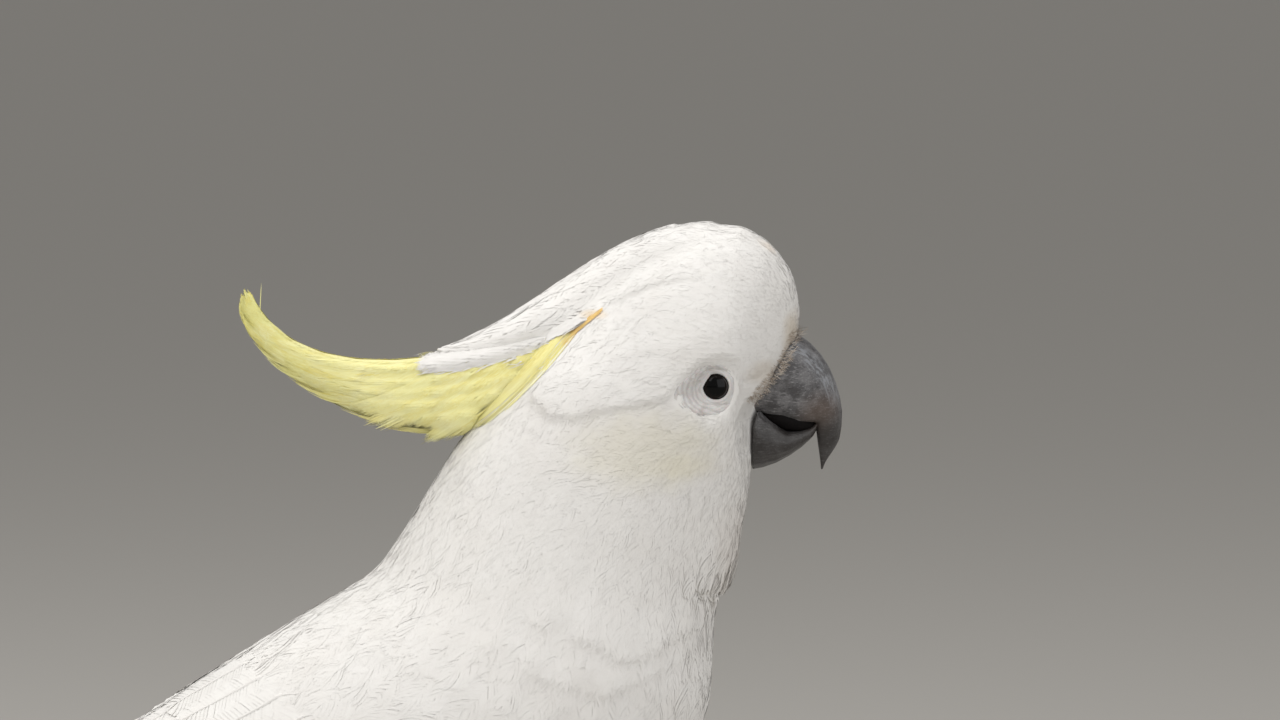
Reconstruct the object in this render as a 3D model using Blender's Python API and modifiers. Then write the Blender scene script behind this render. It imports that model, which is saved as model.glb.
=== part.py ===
"""Sulphur-crested cockatoo, life size, standing on the ground with its crest laid back.

The bird faces +X and stands on z = 0, with +Z up. Its outer form, out to the tips of the feathers, is lofted
through named slices of the body and parted into head, neck and trunk. The wings are shells let into the
flanks, the crest is a white cover over a fan of plumes, and the bill, eyes, legs, feet and claws are pieces
of their own. Sizes here are in millimetres, and each piece is turned into metres as it is made.
"""

import math

import bmesh
import bpy
from mathutils import Vector

MM = 0.001
GAP = 0.4  # clear space between pieces that meet
PARTS, CUTTERS = "cockatoo", "cutters"
SIDES = {"right": -1, "left": 1}

# Slices of the outer form from the face to the tail. Each runs from a point on the back to one below it:
# (back x, back z, lower x, lower z, half width, bow). Bow draws the sides back, so the cheeks clear the bill.
BODY = {
    "bill_base": (213.5, 274.0, 200.5, 237.0, 14.5, 5.0),
    "forehead": (214.2, 289.5, 199.6, 234.5, 23.0, 9.0),
    "brow": (205.5, 304.5, 199.2, 232.0, 28.5, 8.0),
    "eye": (190.6, 310.4, 198.9, 229.5, 31.5, 5.0),
    "crown": (172.0, 304.5, 198.4, 227.0, 33.5, 2.0),
    "ear": (152.0, 291.5, 198.0, 224.0, 34.5, 0.0),
    "hind_head": (131.5, 271.0, 197.2, 219.5, 35.0, 0.0),
    "nape": (110.0, 244.0, 194.0, 207.5, 36.5, 0.0),
    "neck": (98.0, 225.0, 188.5, 192.5, 39.0, 0.0),
    "neck_base": (84.5, 204.0, 187.5, 177.0, 43.5, 0.0),
    "shoulder": (72.5, 195.5, 184.8, 151.0, 49.0, 0.0),
    "breast": (55.0, 185.5, 168.0, 119.0, 54.0, 0.0),
    "belly": (28.0, 168.0, 129.0, 84.0, 55.5, 0.0),
    "thigh": (-5.0, 146.5, 77.0, 68.5, 51.0, 0.0),
    "flank": (-36.0, 126.5, 20.0, 66.0, 42.0, 0.0),
    "vent": (-66.0, 107.0, -32.0, 72.0, 30.0, 0.0),
    "tail_root": (-95.0, 91.5, -76.0, 69.0, 22.5, 0.0),
    "tail_coverts": (-124.0, 75.5, -116.0, 61.0, 16.0, 0.0),
    "covert_tips": (-140.0, 66.5, -136.0, 57.5, 9.0, 0.0),
}
# The folded wings follow the body as far as the flank, and then run on over the tail to their tips.
WING_REAR = {
    "vent": (-66.0, 107.0, -36.0, 71.0, 32.0, 0.0),
    "tail_root": (-95.0, 93.5, -80.0, 67.0, 26.5, 0.0),
    "primaries": (-125.0, 81.5, -117.0, 63.0, 23.0, 0.0),
    "outer_primaries": (-155.0, 67.0, -149.0, 52.0, 18.0, 0.0),
    "wing_tip": (-182.0, 52.5, -178.0, 43.5, 11.0, 0.0),
}
BODY_SIDES = 26
HEAD_END, NECK_END = 6.55, 9.6  # where the body is parted, counted in slices
PARTING = 0.02  # the gap there, in slices
HEAD_STEP, NECK_STEP, TRUNK_STEP = 0.66, 0.66, 1.0  # slices from one ring of faces to the next

EYE = (187.9, 24.3, 260.7)  # the eye's centre, with y taken outwards
EYE_RADIUS = 6.0
LID_RING = (5.0, 0.95, 5.35)  # radius, radius of its section, and distance out from the eye's centre
DISH = (11.0, 3.8, 8.6)  # half sizes of the shallow dish of bare skin round the eye
DISH_CENTRE = (-1.5, 6.7, -0.8)  # from the eye's centre, with y taken outwards

# Bill: slices from the base to the tip, as (upper x, z, lower x, z, half width).
UPPER_BILL = (
    (213.6, 276.2, 199.9, 254.6, 12.6),
    (219.3, 271.6, 204.0, 251.7, 12.2),
    (223.3, 265.8, 209.0, 248.6, 11.0),
    (225.9, 259.5, 213.8, 247.5, 9.2),
    (227.3, 252.9, 218.9, 248.9, 6.6),
    (227.2, 247.0, 219.7, 245.4, 4.7),
    (226.0, 241.3, 220.3, 240.6, 3.1),
    (223.2, 236.4, 220.8, 236.2, 1.5),
)
LOWER_BILL = (
    (200.0, 252.6, 199.6, 233.6, 11.2),
    (204.6, 248.6, 205.3, 234.9, 10.6),
    (209.7, 245.6, 211.3, 238.0, 9.0),
    (214.3, 245.2, 215.6, 241.8, 6.6),
    (217.9, 247.2, 218.4, 245.6, 4.2),
)
BILL_SIDES, BILL_STEP = 14, 0.7
ROUND, BOXY = 2.0, 3.6  # powers of the bill's sections
SCOOP = ((209.0, 0.0, 248.6), (6.4, 6.6, 4.4))  # the lower bill's hollow: centre and half sizes
TONGUE = ((208.6, 0.0, 246.4), (4.6, 4.6, 1.6))

# Crest: cubic curves in the side view. The plumes fill the space between their upper and lower line.
PLUME_TOP = ((152.6, 280.6), (123.8, 273.1), (58.7, 250.5), (43.5, 290.5))
PLUME_UNDER = ((144.8, 275.4), (136.6, 222.6), (49.0, 250.5), (41.3, 283.0))
COVER_TOP = ((186.7, 311.6), (152.5, 310.0), (131.5, 279.0), (101.5, 271.2))
COVER_UNDER = ((180.5, 293.0), (158.5, 291.8), (128.0, 259.0), (103.5, 269.0))
COVER_WIDTHS = (15.0, 14.0, 12.0, 8.5, 3.0)  # half widths, evenly spaced from the brow to the end
# From the topmost plume down: where it leaves the head and where it ends, as shares of the crest's length.
PLUMES = ((0.06, 1.0), (0.09, 0.99), (0.13, 0.9), (0.18, 0.76), (0.34, 0.65), (0.32, 0.52))
PLUME_TAPER = 0.87  # a plume ends at this share of the length at which it would have run out to nothing
PLUME_WIDTHS = (13.0, 2.2)  # half widths at the root and the tip
PLUME_GAP = 0.7
COVERED_PLUMES = 2  # how many of the plumes the cover lies on
CREST_STEP = 0.1

WING_THICKNESS = {"coverts": 4.2, "secondaries": 3.2, "primaries": 2.2}
WING_GAP = 0.05  # between one stretch of feathers and the next, in slices
WING_TOP = 83.0  # degrees round the body from its side, near where the folded wings meet
# The wing's lower edge: degrees round the body, at a place counted in slices.
WING_EDGE = ((10, -6), (11, -27), (12, -30), (13, -27), (15, -18), (17, -8), (18, 4), (19, 22))
BED_END, BED_EDGE = 18.6, 0.03  # a wing's bed: its last slice, and how many slices it passes the wing by
BED_OUT = 2.0  # how far outside the wing the bed is cut from

TAIL_BASE, TAIL_TIP = (-66.0, 95.0), (-227.5, 23.5)  # x and z of the tail's middle line
TAIL_HALF_WIDTHS = (11.0, 39.0)
TAIL_FEATHERS = 12
TAIL_THICKNESS = 2.2
TAIL_DROOP = 6.5  # how far the outer feathers hang below the middle ones
TAIL_RELIEF = 0.7  # height of the step from one feather to the next

FEET_X = 86.0  # the middle of the feet, under the bird's weight
STRIDE = 7.0  # the right foot is this far ahead of it, and the left one behind
FOOT_Y = 29.0
BALL_HEIGHT, BALL = 5.9, (6.6, 6.4, 6.1)  # the ball of the foot: height of its centre, and half sizes
# Toes: angle from straight ahead, turned outwards, then length without the claw, and radius.
TOES = {
    "inner_front": (-16.0, 27.0, 4.3),
    "outer_front": (13.0, 38.0, 4.5),
    "inner_back": (-158.0, 20.0, 3.9),
    "outer_back": (154.0, 33.0, 4.3),
}
TOE_ARCH = (6.5, 4.7, 3.5, 3.9, 2.7)  # heights of a toe's middle line, from the ball to the last pad
TOE_TAPER = (0.4, 0.0, -0.2, -0.7, -1.0)  # what its radius gains or loses there
CLAW_LENGTH, CLAW_BEND, CLAW_LIFT = 13.0, 1.25, 0.35  # length, then its bend and first rise in radians
CLAW_RADII = (2.1, 0.42)
ANKLE = (-13.0, -1.0, 36.0)  # from the middle of the foot, with y taken outwards
# The thigh from inside the belly down to the ankle, from the ankle: (x, y taken outwards, z, radius).
THIGH = (
    (20.0, -4.0, 62.0, 20.0),
    (14.0, -1.0, 40.0, 21.5),
    (8.0, 0.0, 22.0, 17.0),
    (1.5, 0.0, 6.5, 9.6),
    (-0.5, 0.0, -1.5, 6.6),
)
# The bare shank from the ankle to the ball of the foot, from the ankle.
SHANK = ((-0.9, 0.0, -2.4, 4.6), (4.0, 0.0, -11.5, 4.3), (12.6, 1.0, -28.0, 4.8))

FINISHES = {
    "white_plumage": ((0.86, 0.84, 0.80), 0.75),
    "yellow_plumage": ((0.85, 0.76, 0.20), 0.7),
    "horn": ((0.06, 0.06, 0.065), 0.5),
    "eye": ((0.012, 0.008, 0.007), 0.06),
    "bare_skin": ((0.66, 0.63, 0.60), 0.6),
    "scaly_skin": ((0.10, 0.10, 0.105), 0.6),
    "tongue": ((0.03, 0.025, 0.025), 0.5),
}


# ---- making objects ---------------------------------------------------------------------------------------


def start_scene():
    for obj in list(bpy.data.objects):
        bpy.data.objects.remove(obj, do_unlink=True)
    for name in (PARTS, CUTTERS):
        bpy.context.scene.collection.children.link(bpy.data.collections.new(name))


def material(finish):
    """The material of a finish, made the first time that it is asked for."""
    if finish in bpy.data.materials:
        return bpy.data.materials[finish]
    colour, roughness = FINISHES[finish]
    made = bpy.data.materials.new(finish)
    made.use_nodes = True
    shader = made.node_tree.nodes["Principled BSDF"]
    shader.inputs["Base Color"].default_value = (*colour, 1.0)
    shader.inputs["Roughness"].default_value = roughness
    shader.inputs["Metallic"].default_value = 0.0
    return made


def add_mesh(name, mesh, finish):
    """A mesh becomes a part with a finish, or a cutter where it has none."""
    obj = bpy.data.objects.new(name, mesh)
    bpy.data.collections[PARTS if finish else CUTTERS].objects.link(obj)
    if finish:
        mesh.materials.append(material(finish))
    else:
        obj.hide_render = True
        obj.display_type = "WIRE"
    return obj


def add_object(name, bm, finish=None):
    """A bmesh in millimetres becomes a named object in metres, with its faces pointing out."""
    bmesh.ops.scale(bm, vec=(MM, MM, MM), verts=bm.verts)
    bmesh.ops.recalc_face_normals(bm, faces=bm.faces)
    if bm.calc_volume(signed=True) < 0.0:
        bmesh.ops.reverse_faces(bm, faces=bm.faces)
    mesh = bpy.data.meshes.new(name)
    bm.to_mesh(mesh)
    bm.free()
    mesh.shade_smooth()
    return add_mesh(name, mesh, finish)


def boolean(obj, cutter, operation="DIFFERENCE"):
    modifier = obj.modifiers.new(f"{operation.lower()}_{cutter.name}", "BOOLEAN")
    modifier.operation = operation
    modifier.solver = "EXACT"
    modifier.object = cutter


def swell(piece):
    """A copy of a piece that is larger by the gap on every side, to cut what it meets."""
    copy = add_mesh(f"{piece.name}_swollen", piece.data.copy(), None)
    displace = copy.modifiers.new("gap", "DISPLACE")
    displace.direction = "NORMAL"
    displace.mid_level = 0.0
    displace.strength = GAP * MM


def clear_of(piece, *others):
    """Cuts a piece back from the swollen copies of others."""
    for other in others:
        boolean(piece, bpy.data.objects[f"{other}_swollen"])


# ---- curves and lofts -------------------------------------------------------------------------------------


def mixed(start, end, share):
    return start + (end - start) * share


def spread(start, end, step):
    """Even places from start to end, both taken in, at most a step apart."""
    count = math.ceil((end - start) / step - 0.001)
    return [mixed(start, end, k / count) for k in range(count + 1)]


def through(rows, at):
    """The row of numbers at a place counted in rows, on a smooth Catmull-Rom curve through them all."""
    last = len(rows) - 1
    index = min(int(at), last - 1)
    share = at - index
    before, start, end, after = (rows[min(max(index + k, 0), last)] for k in (-1, 0, 1, 2))
    made = []
    for p0, p1, p2, p3 in zip(before, start, end, after):
        cubic = 3.0 * (p1 - p2) + p3 - p0
        square = 2.0 * p0 - 5.0 * p1 + 4.0 * p2 - p3
        made.append(p1 + 0.5 * share * (p2 - p0 + share * (square + share * cubic)))
    return made


def bezier(points, share):
    """A point of a cubic curve in the side view."""
    back = 1.0 - share
    weights = (back**3, 3 * back * back * share, 3 * back * share * share, share**3)
    return Vector([sum(w * p[axis] for w, p in zip(weights, points)) for axis in (0, 1)])


def rearward(row):
    """The direction square to a slice, towards the tail."""
    return Vector((row[3] - row[1], 0.0, row[0] - row[2])).normalized()


def slice_point(row, angle, out=0.0, powers=(2.0, 2.0)):
    """A point of a slice, at an angle up from its side, moved outwards. Powers over 2 square it off."""
    back_x, back_z, under_x, under_z, half_width, *bow = row
    middle = Vector(((back_x + under_x) / 2, 0.0, (back_z + under_z) / 2))
    up = Vector((back_x, 0.0, back_z)) - middle
    power = 2.0 / powers[math.sin(angle) < 0]
    rise = math.copysign(abs(math.sin(angle)) ** power, math.sin(angle))
    side = math.copysign(abs(math.cos(angle)) ** power, math.cos(angle))
    point = middle + up * (1 + out / up.length) * rise + Vector((0.0, (half_width + out) * side, 0.0))
    return point + rearward(row) * (bow[0] * side * side if bow else 0.0)


def loft(rings):
    """A closed skin over rings that have the same number of points, with a fan of faces as each end's cap."""
    bm = bmesh.new()
    loops = [[bm.verts.new(point) for point in ring] for ring in rings]
    for first, second in zip(loops, loops[1:]):
        for k, vert in enumerate(first):
            after = (k + 1) % len(first)
            bm.faces.new((vert, first[after], second[after], second[k]))
    caps = [bm.faces.new(loops[0]), bm.faces.new(loops[-1])]
    bmesh.ops.poke(bm, faces=caps)
    return bm


def loft_slices(rows, places, sides, powers=(2.0, 2.0)):
    """A closed loft through places in a table of slices."""
    angles = [math.tau * k / sides for k in range(sides)]
    return loft([[slice_point(through(rows, at), angle, powers=powers) for angle in angles] for at in places])


def ellipsoid(name, centre, half_sizes, finish=None, segments=16, rings=10):
    bm = bmesh.new()
    bmesh.ops.create_uvsphere(bm, u_segments=segments, v_segments=rings, radius=1.0)
    bmesh.ops.scale(bm, vec=half_sizes, verts=bm.verts)
    bmesh.ops.translate(bm, vec=centre, verts=bm.verts)
    return add_object(name, bm, finish)


def shell(name, columns, rows, place, outward, thickness, finish=None):
    """A sheet of faces laid out by place(across, along), thickened away from the side that faces outward."""
    bm = bmesh.new()
    bmesh.ops.create_grid(bm, x_segments=columns, y_segments=rows, size=0.5)
    for vert in bm.verts:
        vert.co = place(vert.co.x + 0.5, vert.co.y + 0.5)
    obj = add_object(name, bm, finish)
    if sum(face.normal.dot(outward) for face in obj.data.polygons) < 0.0:
        obj.data.flip_normals()
    solidify = obj.modifiers.new("thickness", "SOLIDIFY")
    solidify.thickness = thickness * MM
    solidify.offset = -1.0
    return obj


def limb(name, rows, resolution, finish=None):
    """A round limb through rows of (x, y, z, radius): a bevelled curve, made a closed mesh."""
    curve = bpy.data.curves.new(name, "CURVE")
    curve.dimensions = "3D"
    curve.bevel_depth = MM
    curve.bevel_resolution = resolution
    curve.use_fill_caps = True
    spline = curve.splines.new("POLY")
    spline.points.add(len(rows) - 1)
    for point, (x, y, z, radius) in zip(spline.points, rows):
        point.co = (x * MM, y * MM, z * MM, 1.0)
        point.radius = radius
    holder = bpy.data.objects.new(f"{name}_curve", curve)
    bpy.context.scene.collection.objects.link(holder)
    graph = bpy.context.evaluated_depsgraph_get()
    bm = bmesh.new()
    bm.from_mesh(bpy.data.meshes.new_from_object(holder.evaluated_get(graph)))
    bpy.data.objects.remove(holder)
    bmesh.ops.remove_doubles(bm, verts=bm.verts, dist=0.00002)
    bmesh.ops.scale(bm, vec=(1.0 / MM,) * 3, verts=bm.verts)
    return add_object(name, bm, finish)


def smoothed(rows, step):
    return [through(rows, at) for at in spread(0, len(rows) - 1, step)]


def thickened(rows):
    """A limb's rows, larger all round by the gap and longer by it at the end."""
    *_, before, last = rows
    end = Vector(last[:3]) + (Vector(last[:3]) - Vector(before[:3])).normalized() * GAP
    return [(x, y, z, radius + GAP) for x, y, z, radius in (*rows, (*end, last[3]))]


# ---- head, neck and trunk ---------------------------------------------------------------------------------


def make_body(name, start, end, step):
    """A stretch of the body, from one place counted in slices to another."""
    bm = loft_slices(list(BODY.values()), spread(start, end, step), BODY_SIDES)
    piece = add_object(name, bm, "white_plumage")
    swell(piece)
    return piece


def make_head():
    """The head takes the bill on its flat face, and has a dish and a socket for each eye."""
    head = make_body("head", 0.0, HEAD_END, HEAD_STEP)
    back, out, down = DISH_CENTRE
    for side, sign in SIDES.items():
        centre = Vector((EYE[0], sign * EYE[1], EYE[2]))
        boolean(head, ellipsoid(f"dish_{side}", centre + Vector((back, sign * out, down)), DISH))
        boolean(head, ellipsoid(f"socket_{side}", centre, (EYE_RADIUS + GAP,) * 3, None, 14, 8))


def make_eye(side, sign):
    """A ball behind a ring of bare lid."""
    x, y, z = EYE[0], sign * EYE[1], EYE[2]
    ellipsoid(f"eye_{side}", (x, y, z), (EYE_RADIUS,) * 3, "eye", 12, 8)
    radius, section, out = LID_RING
    bpy.ops.mesh.primitive_torus_add(
        major_radius=radius,
        minor_radius=section,
        major_segments=16,
        minor_segments=5,
        location=(x, y + sign * out, z),
        rotation=(math.radians(90.0), 0.0, 0.0),
    )
    torus = bpy.context.object
    bm = bmesh.new()
    bm.from_mesh(torus.data)
    bm.transform(torus.matrix_world)
    bpy.data.objects.remove(torus)
    add_object(f"eyelid_{side}", bm, "bare_skin")


def make_bill():
    """The upper bill hooks over the tip of the lower one, which is a scoop with the tongue in it."""
    for name, rows, powers in (
        ("bill_upper", UPPER_BILL, (ROUND, BOXY)),
        ("bill_lower", LOWER_BILL, (BOXY, ROUND)),
    ):
        bm = loft_slices(rows, spread(0, len(rows) - 1, BILL_STEP), BILL_SIDES, powers)
        piece = add_object(name, bm, "horn")
        if name == "bill_lower":
            boolean(piece, ellipsoid("scoop", *SCOOP, None, 12, 8))
        clear_of(piece, "head")
    ellipsoid("tongue", *TONGUE, "tongue", 8, 6)


# ---- crest ------------------------------------------------------------------------------------------------


def make_crest_cover():
    """The broad white feathers that lie back from the crown over the plumes."""
    rows = []
    widths = [(width,) for width in COVER_WIDTHS]
    for share in spread(0.0, 1.0, CREST_STEP):
        (width,) = through(widths, share * (len(widths) - 1))
        rows.append((*bezier(COVER_TOP, share), *bezier(COVER_UNDER, share), width))
    cover = add_object("crest_cover", loft_slices(rows, range(len(rows)), 14), "white_plumage")
    swell(cover)
    clear_of(cover, "head", "neck")


def plume_border(number, share):
    """How far down the crest a plume gives way to the one above, which then takes the crest's lower line."""
    count = len(PLUMES)
    if number in (0, count):
        return number / count
    _, reach = PLUMES[number]
    return mixed(number / count, 1.0, (share * PLUME_TAPER / reach) ** 3)


def make_plume(number, root, reach):
    """One curved plume, from the head to where it ends on the crest's lower line."""
    rows = []
    for share in spread(root, reach, CREST_STEP):
        top, under = bezier(PLUME_TOP, share), bezier(PLUME_UNDER, share)
        trim = PLUME_GAP / 2 / (under - top).length
        high = top.lerp(under, plume_border(number, share) + trim)
        low = top.lerp(under, plume_border(number + 1, share) - trim)
        rounding = min(1.0, math.sqrt((reach + 0.02 - share) / 0.3))
        rows.append((*high, *low, mixed(*PLUME_WIDTHS, share) * rounding))
    plume = add_object(f"crest_plume_{number + 1}", loft_slices(rows, range(len(rows)), 8), "yellow_plumage")
    clear_of(plume, "head", "neck")
    if number < COVERED_PLUMES:
        clear_of(plume, "crest_cover")


# ---- wings and tail ---------------------------------------------------------------------------------------


def tips(across, count, depth):
    """A row of rounded feather tips: how far each place across it falls short of the longest."""
    return depth * (1.0 - math.sqrt(abs(math.sin(math.pi * count * across))))


def wing_front(across):
    """The leading edge, from the wrist low on the breast up to the shoulder, counted in slices."""
    return 10.75 + 0.35 * (2.0 * across - 0.7) ** 2


def coverts_end(across):
    return 13.05 + 0.55 * across - tips(across, 4, 0.08)


def secondaries_end(across):
    return 15.5 + 0.75 * across - tips(across, 4, 0.1)


def primaries_end(across):
    return 18.6 + 0.35 * across - tips(across, 4, 0.5)


def bed_end(_across):
    return BED_END


WING_STRETCHES = {
    "coverts": (wing_front, coverts_end, 5),
    "secondaries": (coverts_end, secondaries_end, 4),
    "primaries": (secondaries_end, primaries_end, 4),
}


def wing_edge(at):
    """The angle of the wing's lower edge, at a place counted in slices."""
    for (start, low), (end, high) in zip(WING_EDGE, WING_EDGE[1:]):
        if at <= end:
            break
    return mixed(low, high, (at - start) / (end - start))


def wing_place(sign, begin, end, grow=0.0, out=0.0):
    """Where a point of a wing lies on the outer form, with the wing grown at its edges and outwards."""
    envelope = [*list(BODY.values())[: list(BODY).index("vent")], *WING_REAR.values()]

    def place(across, along):
        at = mixed(begin(across) + WING_GAP - grow, end(across) + grow, along)
        low, high = wing_edge(at) - 80.0 * grow, WING_TOP + 60.0 * grow
        point = slice_point(through(envelope, at), math.radians(mixed(low, high, across)), out)
        return Vector((point.x, sign * point.y, point.z))

    return place


def make_wing(side, sign):
    """A folded wing: three stretches of feathers that follow each other, let into a bed in the flank."""
    outward = Vector((0.0, sign, 1.0))
    for stretch, (begin, end, rows) in WING_STRETCHES.items():
        name, thickness = f"wing_{side}_{stretch}", WING_THICKNESS[stretch]
        shell(name, 12, rows, wing_place(sign, begin, end), outward, thickness, "white_plumage")
    place = wing_place(sign, wing_front, bed_end, BED_EDGE, BED_OUT)
    depth = BED_OUT + max(WING_THICKNESS.values()) + GAP
    boolean(bpy.data.objects["trunk"], shell(f"bed_{side}", 10, 16, place, outward, depth))


def tail_place(across, along):
    """Where a point of the tail lies: feathers stepped like tiles, the outer ones shorter and lower."""
    side = 2.0 * across - 1.0
    share = along * (1.0 - 0.05 * side * side - tips(across, TAIL_FEATHERS / 2, 0.018))
    half_width = mixed(*TAIL_HALF_WIDTHS, share**0.8)
    step = 0.5 - (abs(side) * TAIL_FEATHERS / 2) % 1.0
    lift = TAIL_RELIEF * step * share - TAIL_DROOP * side * side * (0.4 + 0.6 * share)
    x, z = (mixed(base, tip, share) for base, tip in zip(TAIL_BASE, TAIL_TIP))
    return Vector((x, side * half_width, z + lift))


def make_tail():
    """The tail's feathers as one plate, whose root is hidden in the coverts of the trunk."""
    up = Vector((0.0, 0.0, 1.0))
    tail = shell("tail", 2 * TAIL_FEATHERS, 5, tail_place, up, TAIL_THICKNESS, "white_plumage")
    clear_of(tail, "trunk")


# ---- legs -------------------------------------------------------------------------------------------------


def foot_middle(sign):
    """The middle of a foot on the ground: the right one is a stride ahead."""
    return Vector((FEET_X - sign * STRIDE, sign * FOOT_Y, 0.0))


def toe_rows(sign, toe):
    """A toe's arched middle line and radii from the ball of the foot, and the direction it points in."""
    angle, length, radius = TOES[toe]
    turn = math.radians(angle)
    ahead = Vector((math.cos(turn), sign * math.sin(turn), 0.0))
    rows = []
    for k, (height, taper) in enumerate(zip(TOE_ARCH, TOE_TAPER)):
        point = foot_middle(sign) + ahead * length * k / (len(TOE_ARCH) - 1)
        rows.append((point.x, point.y, height, radius + taper))
    return rows, ahead


def make_foot(side, sign):
    """Two toes ahead and two behind, joined at the ball of the foot, with their pads flat on the ground."""
    middle = foot_middle(sign)
    ball = middle + Vector((0.0, 0.0, BALL_HEIGHT))
    foot = ellipsoid(f"foot_{side}", ball, BALL, "scaly_skin", 10, 6)
    for toe in TOES:
        rows, ahead = toe_rows(sign, toe)
        x, y, z, radius = rows[-1]
        rounded_end = Vector((x, y, z)) + ahead * radius * 0.7
        rows.append((*rounded_end, radius * 0.6))
        boolean(foot, limb(f"toe_{side}_{toe}", rows, 1), "UNION")
    ground = bmesh.new()
    bmesh.ops.create_cube(ground, size=200.0)
    bmesh.ops.translate(ground, vec=middle - Vector((0.0, 0.0, 100.0)), verts=ground.verts)
    boolean(foot, add_object(f"ground_{side}", ground))


def make_claw(side, sign, toe):
    """A curved, blunt claw that leaves its toe high and comes down to just above the ground."""
    rows, ahead = toe_rows(sign, toe)
    x, y, z, toe_radius = rows[-1]
    start = Vector((x, y, z + 1.5)) + ahead * (toe_radius + 0.15 + GAP)
    curve_radius = 0.9 * CLAW_LENGTH / CLAW_BEND
    claw = []
    for share in spread(0.0, 1.0, 0.25):
        turned = CLAW_BEND * share - CLAW_LIFT
        forward = curve_radius * (math.sin(turned) + math.sin(CLAW_LIFT))
        rise = curve_radius * (math.cos(turned) - math.cos(CLAW_LIFT))
        point = start + ahead * forward
        claw.append((point.x, point.y, point.z + rise, mixed(*CLAW_RADII, share)))
    limb(f"claw_{side}_{toe}", claw, 1, "horn")


def make_leg(side, sign):
    """A feathered thigh from the belly to the ankle, and the bare shank from there to the foot."""
    ankle = foot_middle(sign) + Vector((ANKLE[0], sign * ANKLE[1], ANKLE[2]))
    thigh_rows, shank_rows = (
        smoothed([(ankle.x + x, ankle.y + sign * y, ankle.z + z, radius) for x, y, z, radius in rows], 0.5)
        for rows in (THIGH, SHANK)
    )
    clear_of(limb(f"thigh_{side}", thigh_rows, 4, "white_plumage"), "trunk")
    shank = limb(f"shank_{side}", shank_rows, 3, "scaly_skin")
    boolean(shank, limb(f"thigh_clear_{side}", thickened(thigh_rows), 4))
    ball = foot_middle(sign) + Vector((0.0, 0.0, BALL_HEIGHT))
    boolean(shank, ellipsoid(f"ball_clear_{side}", ball, [size + GAP for size in BALL]))
    for toe in TOES:
        rows, _ahead = toe_rows(sign, toe)
        boolean(shank, limb(f"toe_clear_{side}_{toe}", thickened(rows[:3]), 1))


start_scene()
make_head()
make_body("neck", HEAD_END + PARTING, NECK_END - PARTING, NECK_STEP)
make_body("trunk", NECK_END, len(BODY) - 1, TRUNK_STEP)
make_bill()
make_crest_cover()
for plume_number, (plume_root, plume_reach) in enumerate(PLUMES):
    make_plume(plume_number, plume_root, plume_reach)
make_tail()
for side_name, side_sign in SIDES.items():
    make_eye(side_name, side_sign)
    make_wing(side_name, side_sign)
    make_leg(side_name, side_sign)
    make_foot(side_name, side_sign)
    for toe_name in TOES:
        make_claw(side_name, side_sign, toe_name)
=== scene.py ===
"""A sulphur-crested cockatoo as it looks in life: skin, plumage, crest, wings, tail, bill, eyes and feet.

The bird faces +X and stands on z = 0. Sizes are in millimetres, and meshes turn into metres as they are made.
"""

import math

import bmesh
import bpy
import numpy as np
from mathutils import Matrix, Vector, kdtree
from mathutils.bvhtree import BVHTree


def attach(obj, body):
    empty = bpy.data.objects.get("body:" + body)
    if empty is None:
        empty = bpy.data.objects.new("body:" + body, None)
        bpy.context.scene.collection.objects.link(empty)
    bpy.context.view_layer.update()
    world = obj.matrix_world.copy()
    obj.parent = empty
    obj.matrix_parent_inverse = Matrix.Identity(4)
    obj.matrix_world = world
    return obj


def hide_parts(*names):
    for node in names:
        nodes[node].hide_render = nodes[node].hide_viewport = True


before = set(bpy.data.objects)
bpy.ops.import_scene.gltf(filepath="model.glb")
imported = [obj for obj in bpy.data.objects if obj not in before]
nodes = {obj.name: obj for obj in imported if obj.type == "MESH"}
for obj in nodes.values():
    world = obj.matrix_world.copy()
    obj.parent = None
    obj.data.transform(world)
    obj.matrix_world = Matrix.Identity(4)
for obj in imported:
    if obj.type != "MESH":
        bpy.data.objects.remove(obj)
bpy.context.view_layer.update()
MM = 0.001

# ---- Form of the plumage ----------------------------------------------------------------------------------
# The outer form of the closed plumage, which the feathers lie along. It is the flesh of the solids run
# together, with the soft lips where one tract of feathers ends over the next. It is not shown itself.

EYE = np.array((188.3, 24.3, 261.4))
EYE_RADIUS = 6.0
# The lids' inner edge: a circle, flattened by a chord at the upper back.
LID_EDGE, LID_CHORD, LID_CHORD_WAY = 4.05, 3.3, math.radians(148.0)
# Which way each side lies along y.
SIDES = {"right": -1.0, "left": 1.0}
# The ring's outer edge: angle up from the front in degrees, and distance from the eye's middle.
RING_EDGE = (
    (-180, 11.6), (-163, 13.6), (-150, 12.2), (-140, 10.6), (-120, 9.0), (-100, 8.3), (-70, 7.7), (-40, 7.2),
    (0, 7.5), (40, 7.6), (78, 6.6), (123, 6.7), (155, 8.6), (180, 11.6),
)  # fmt: skip


def ring_edge(angle):
    degrees, reach = np.array(RING_EDGE, dtype=float).T
    return np.interp(np.degrees(angle), degrees, reach)


TRACTS = ["head", "neck", "trunk", "crest_cover", "thigh_right", "thigh_left"]
TRACTS += [f"wing_{side_name}_{part}" for side_name in SIDES for part in ("coverts", "secondaries")]
FORM_CELL = 1.45
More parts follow.
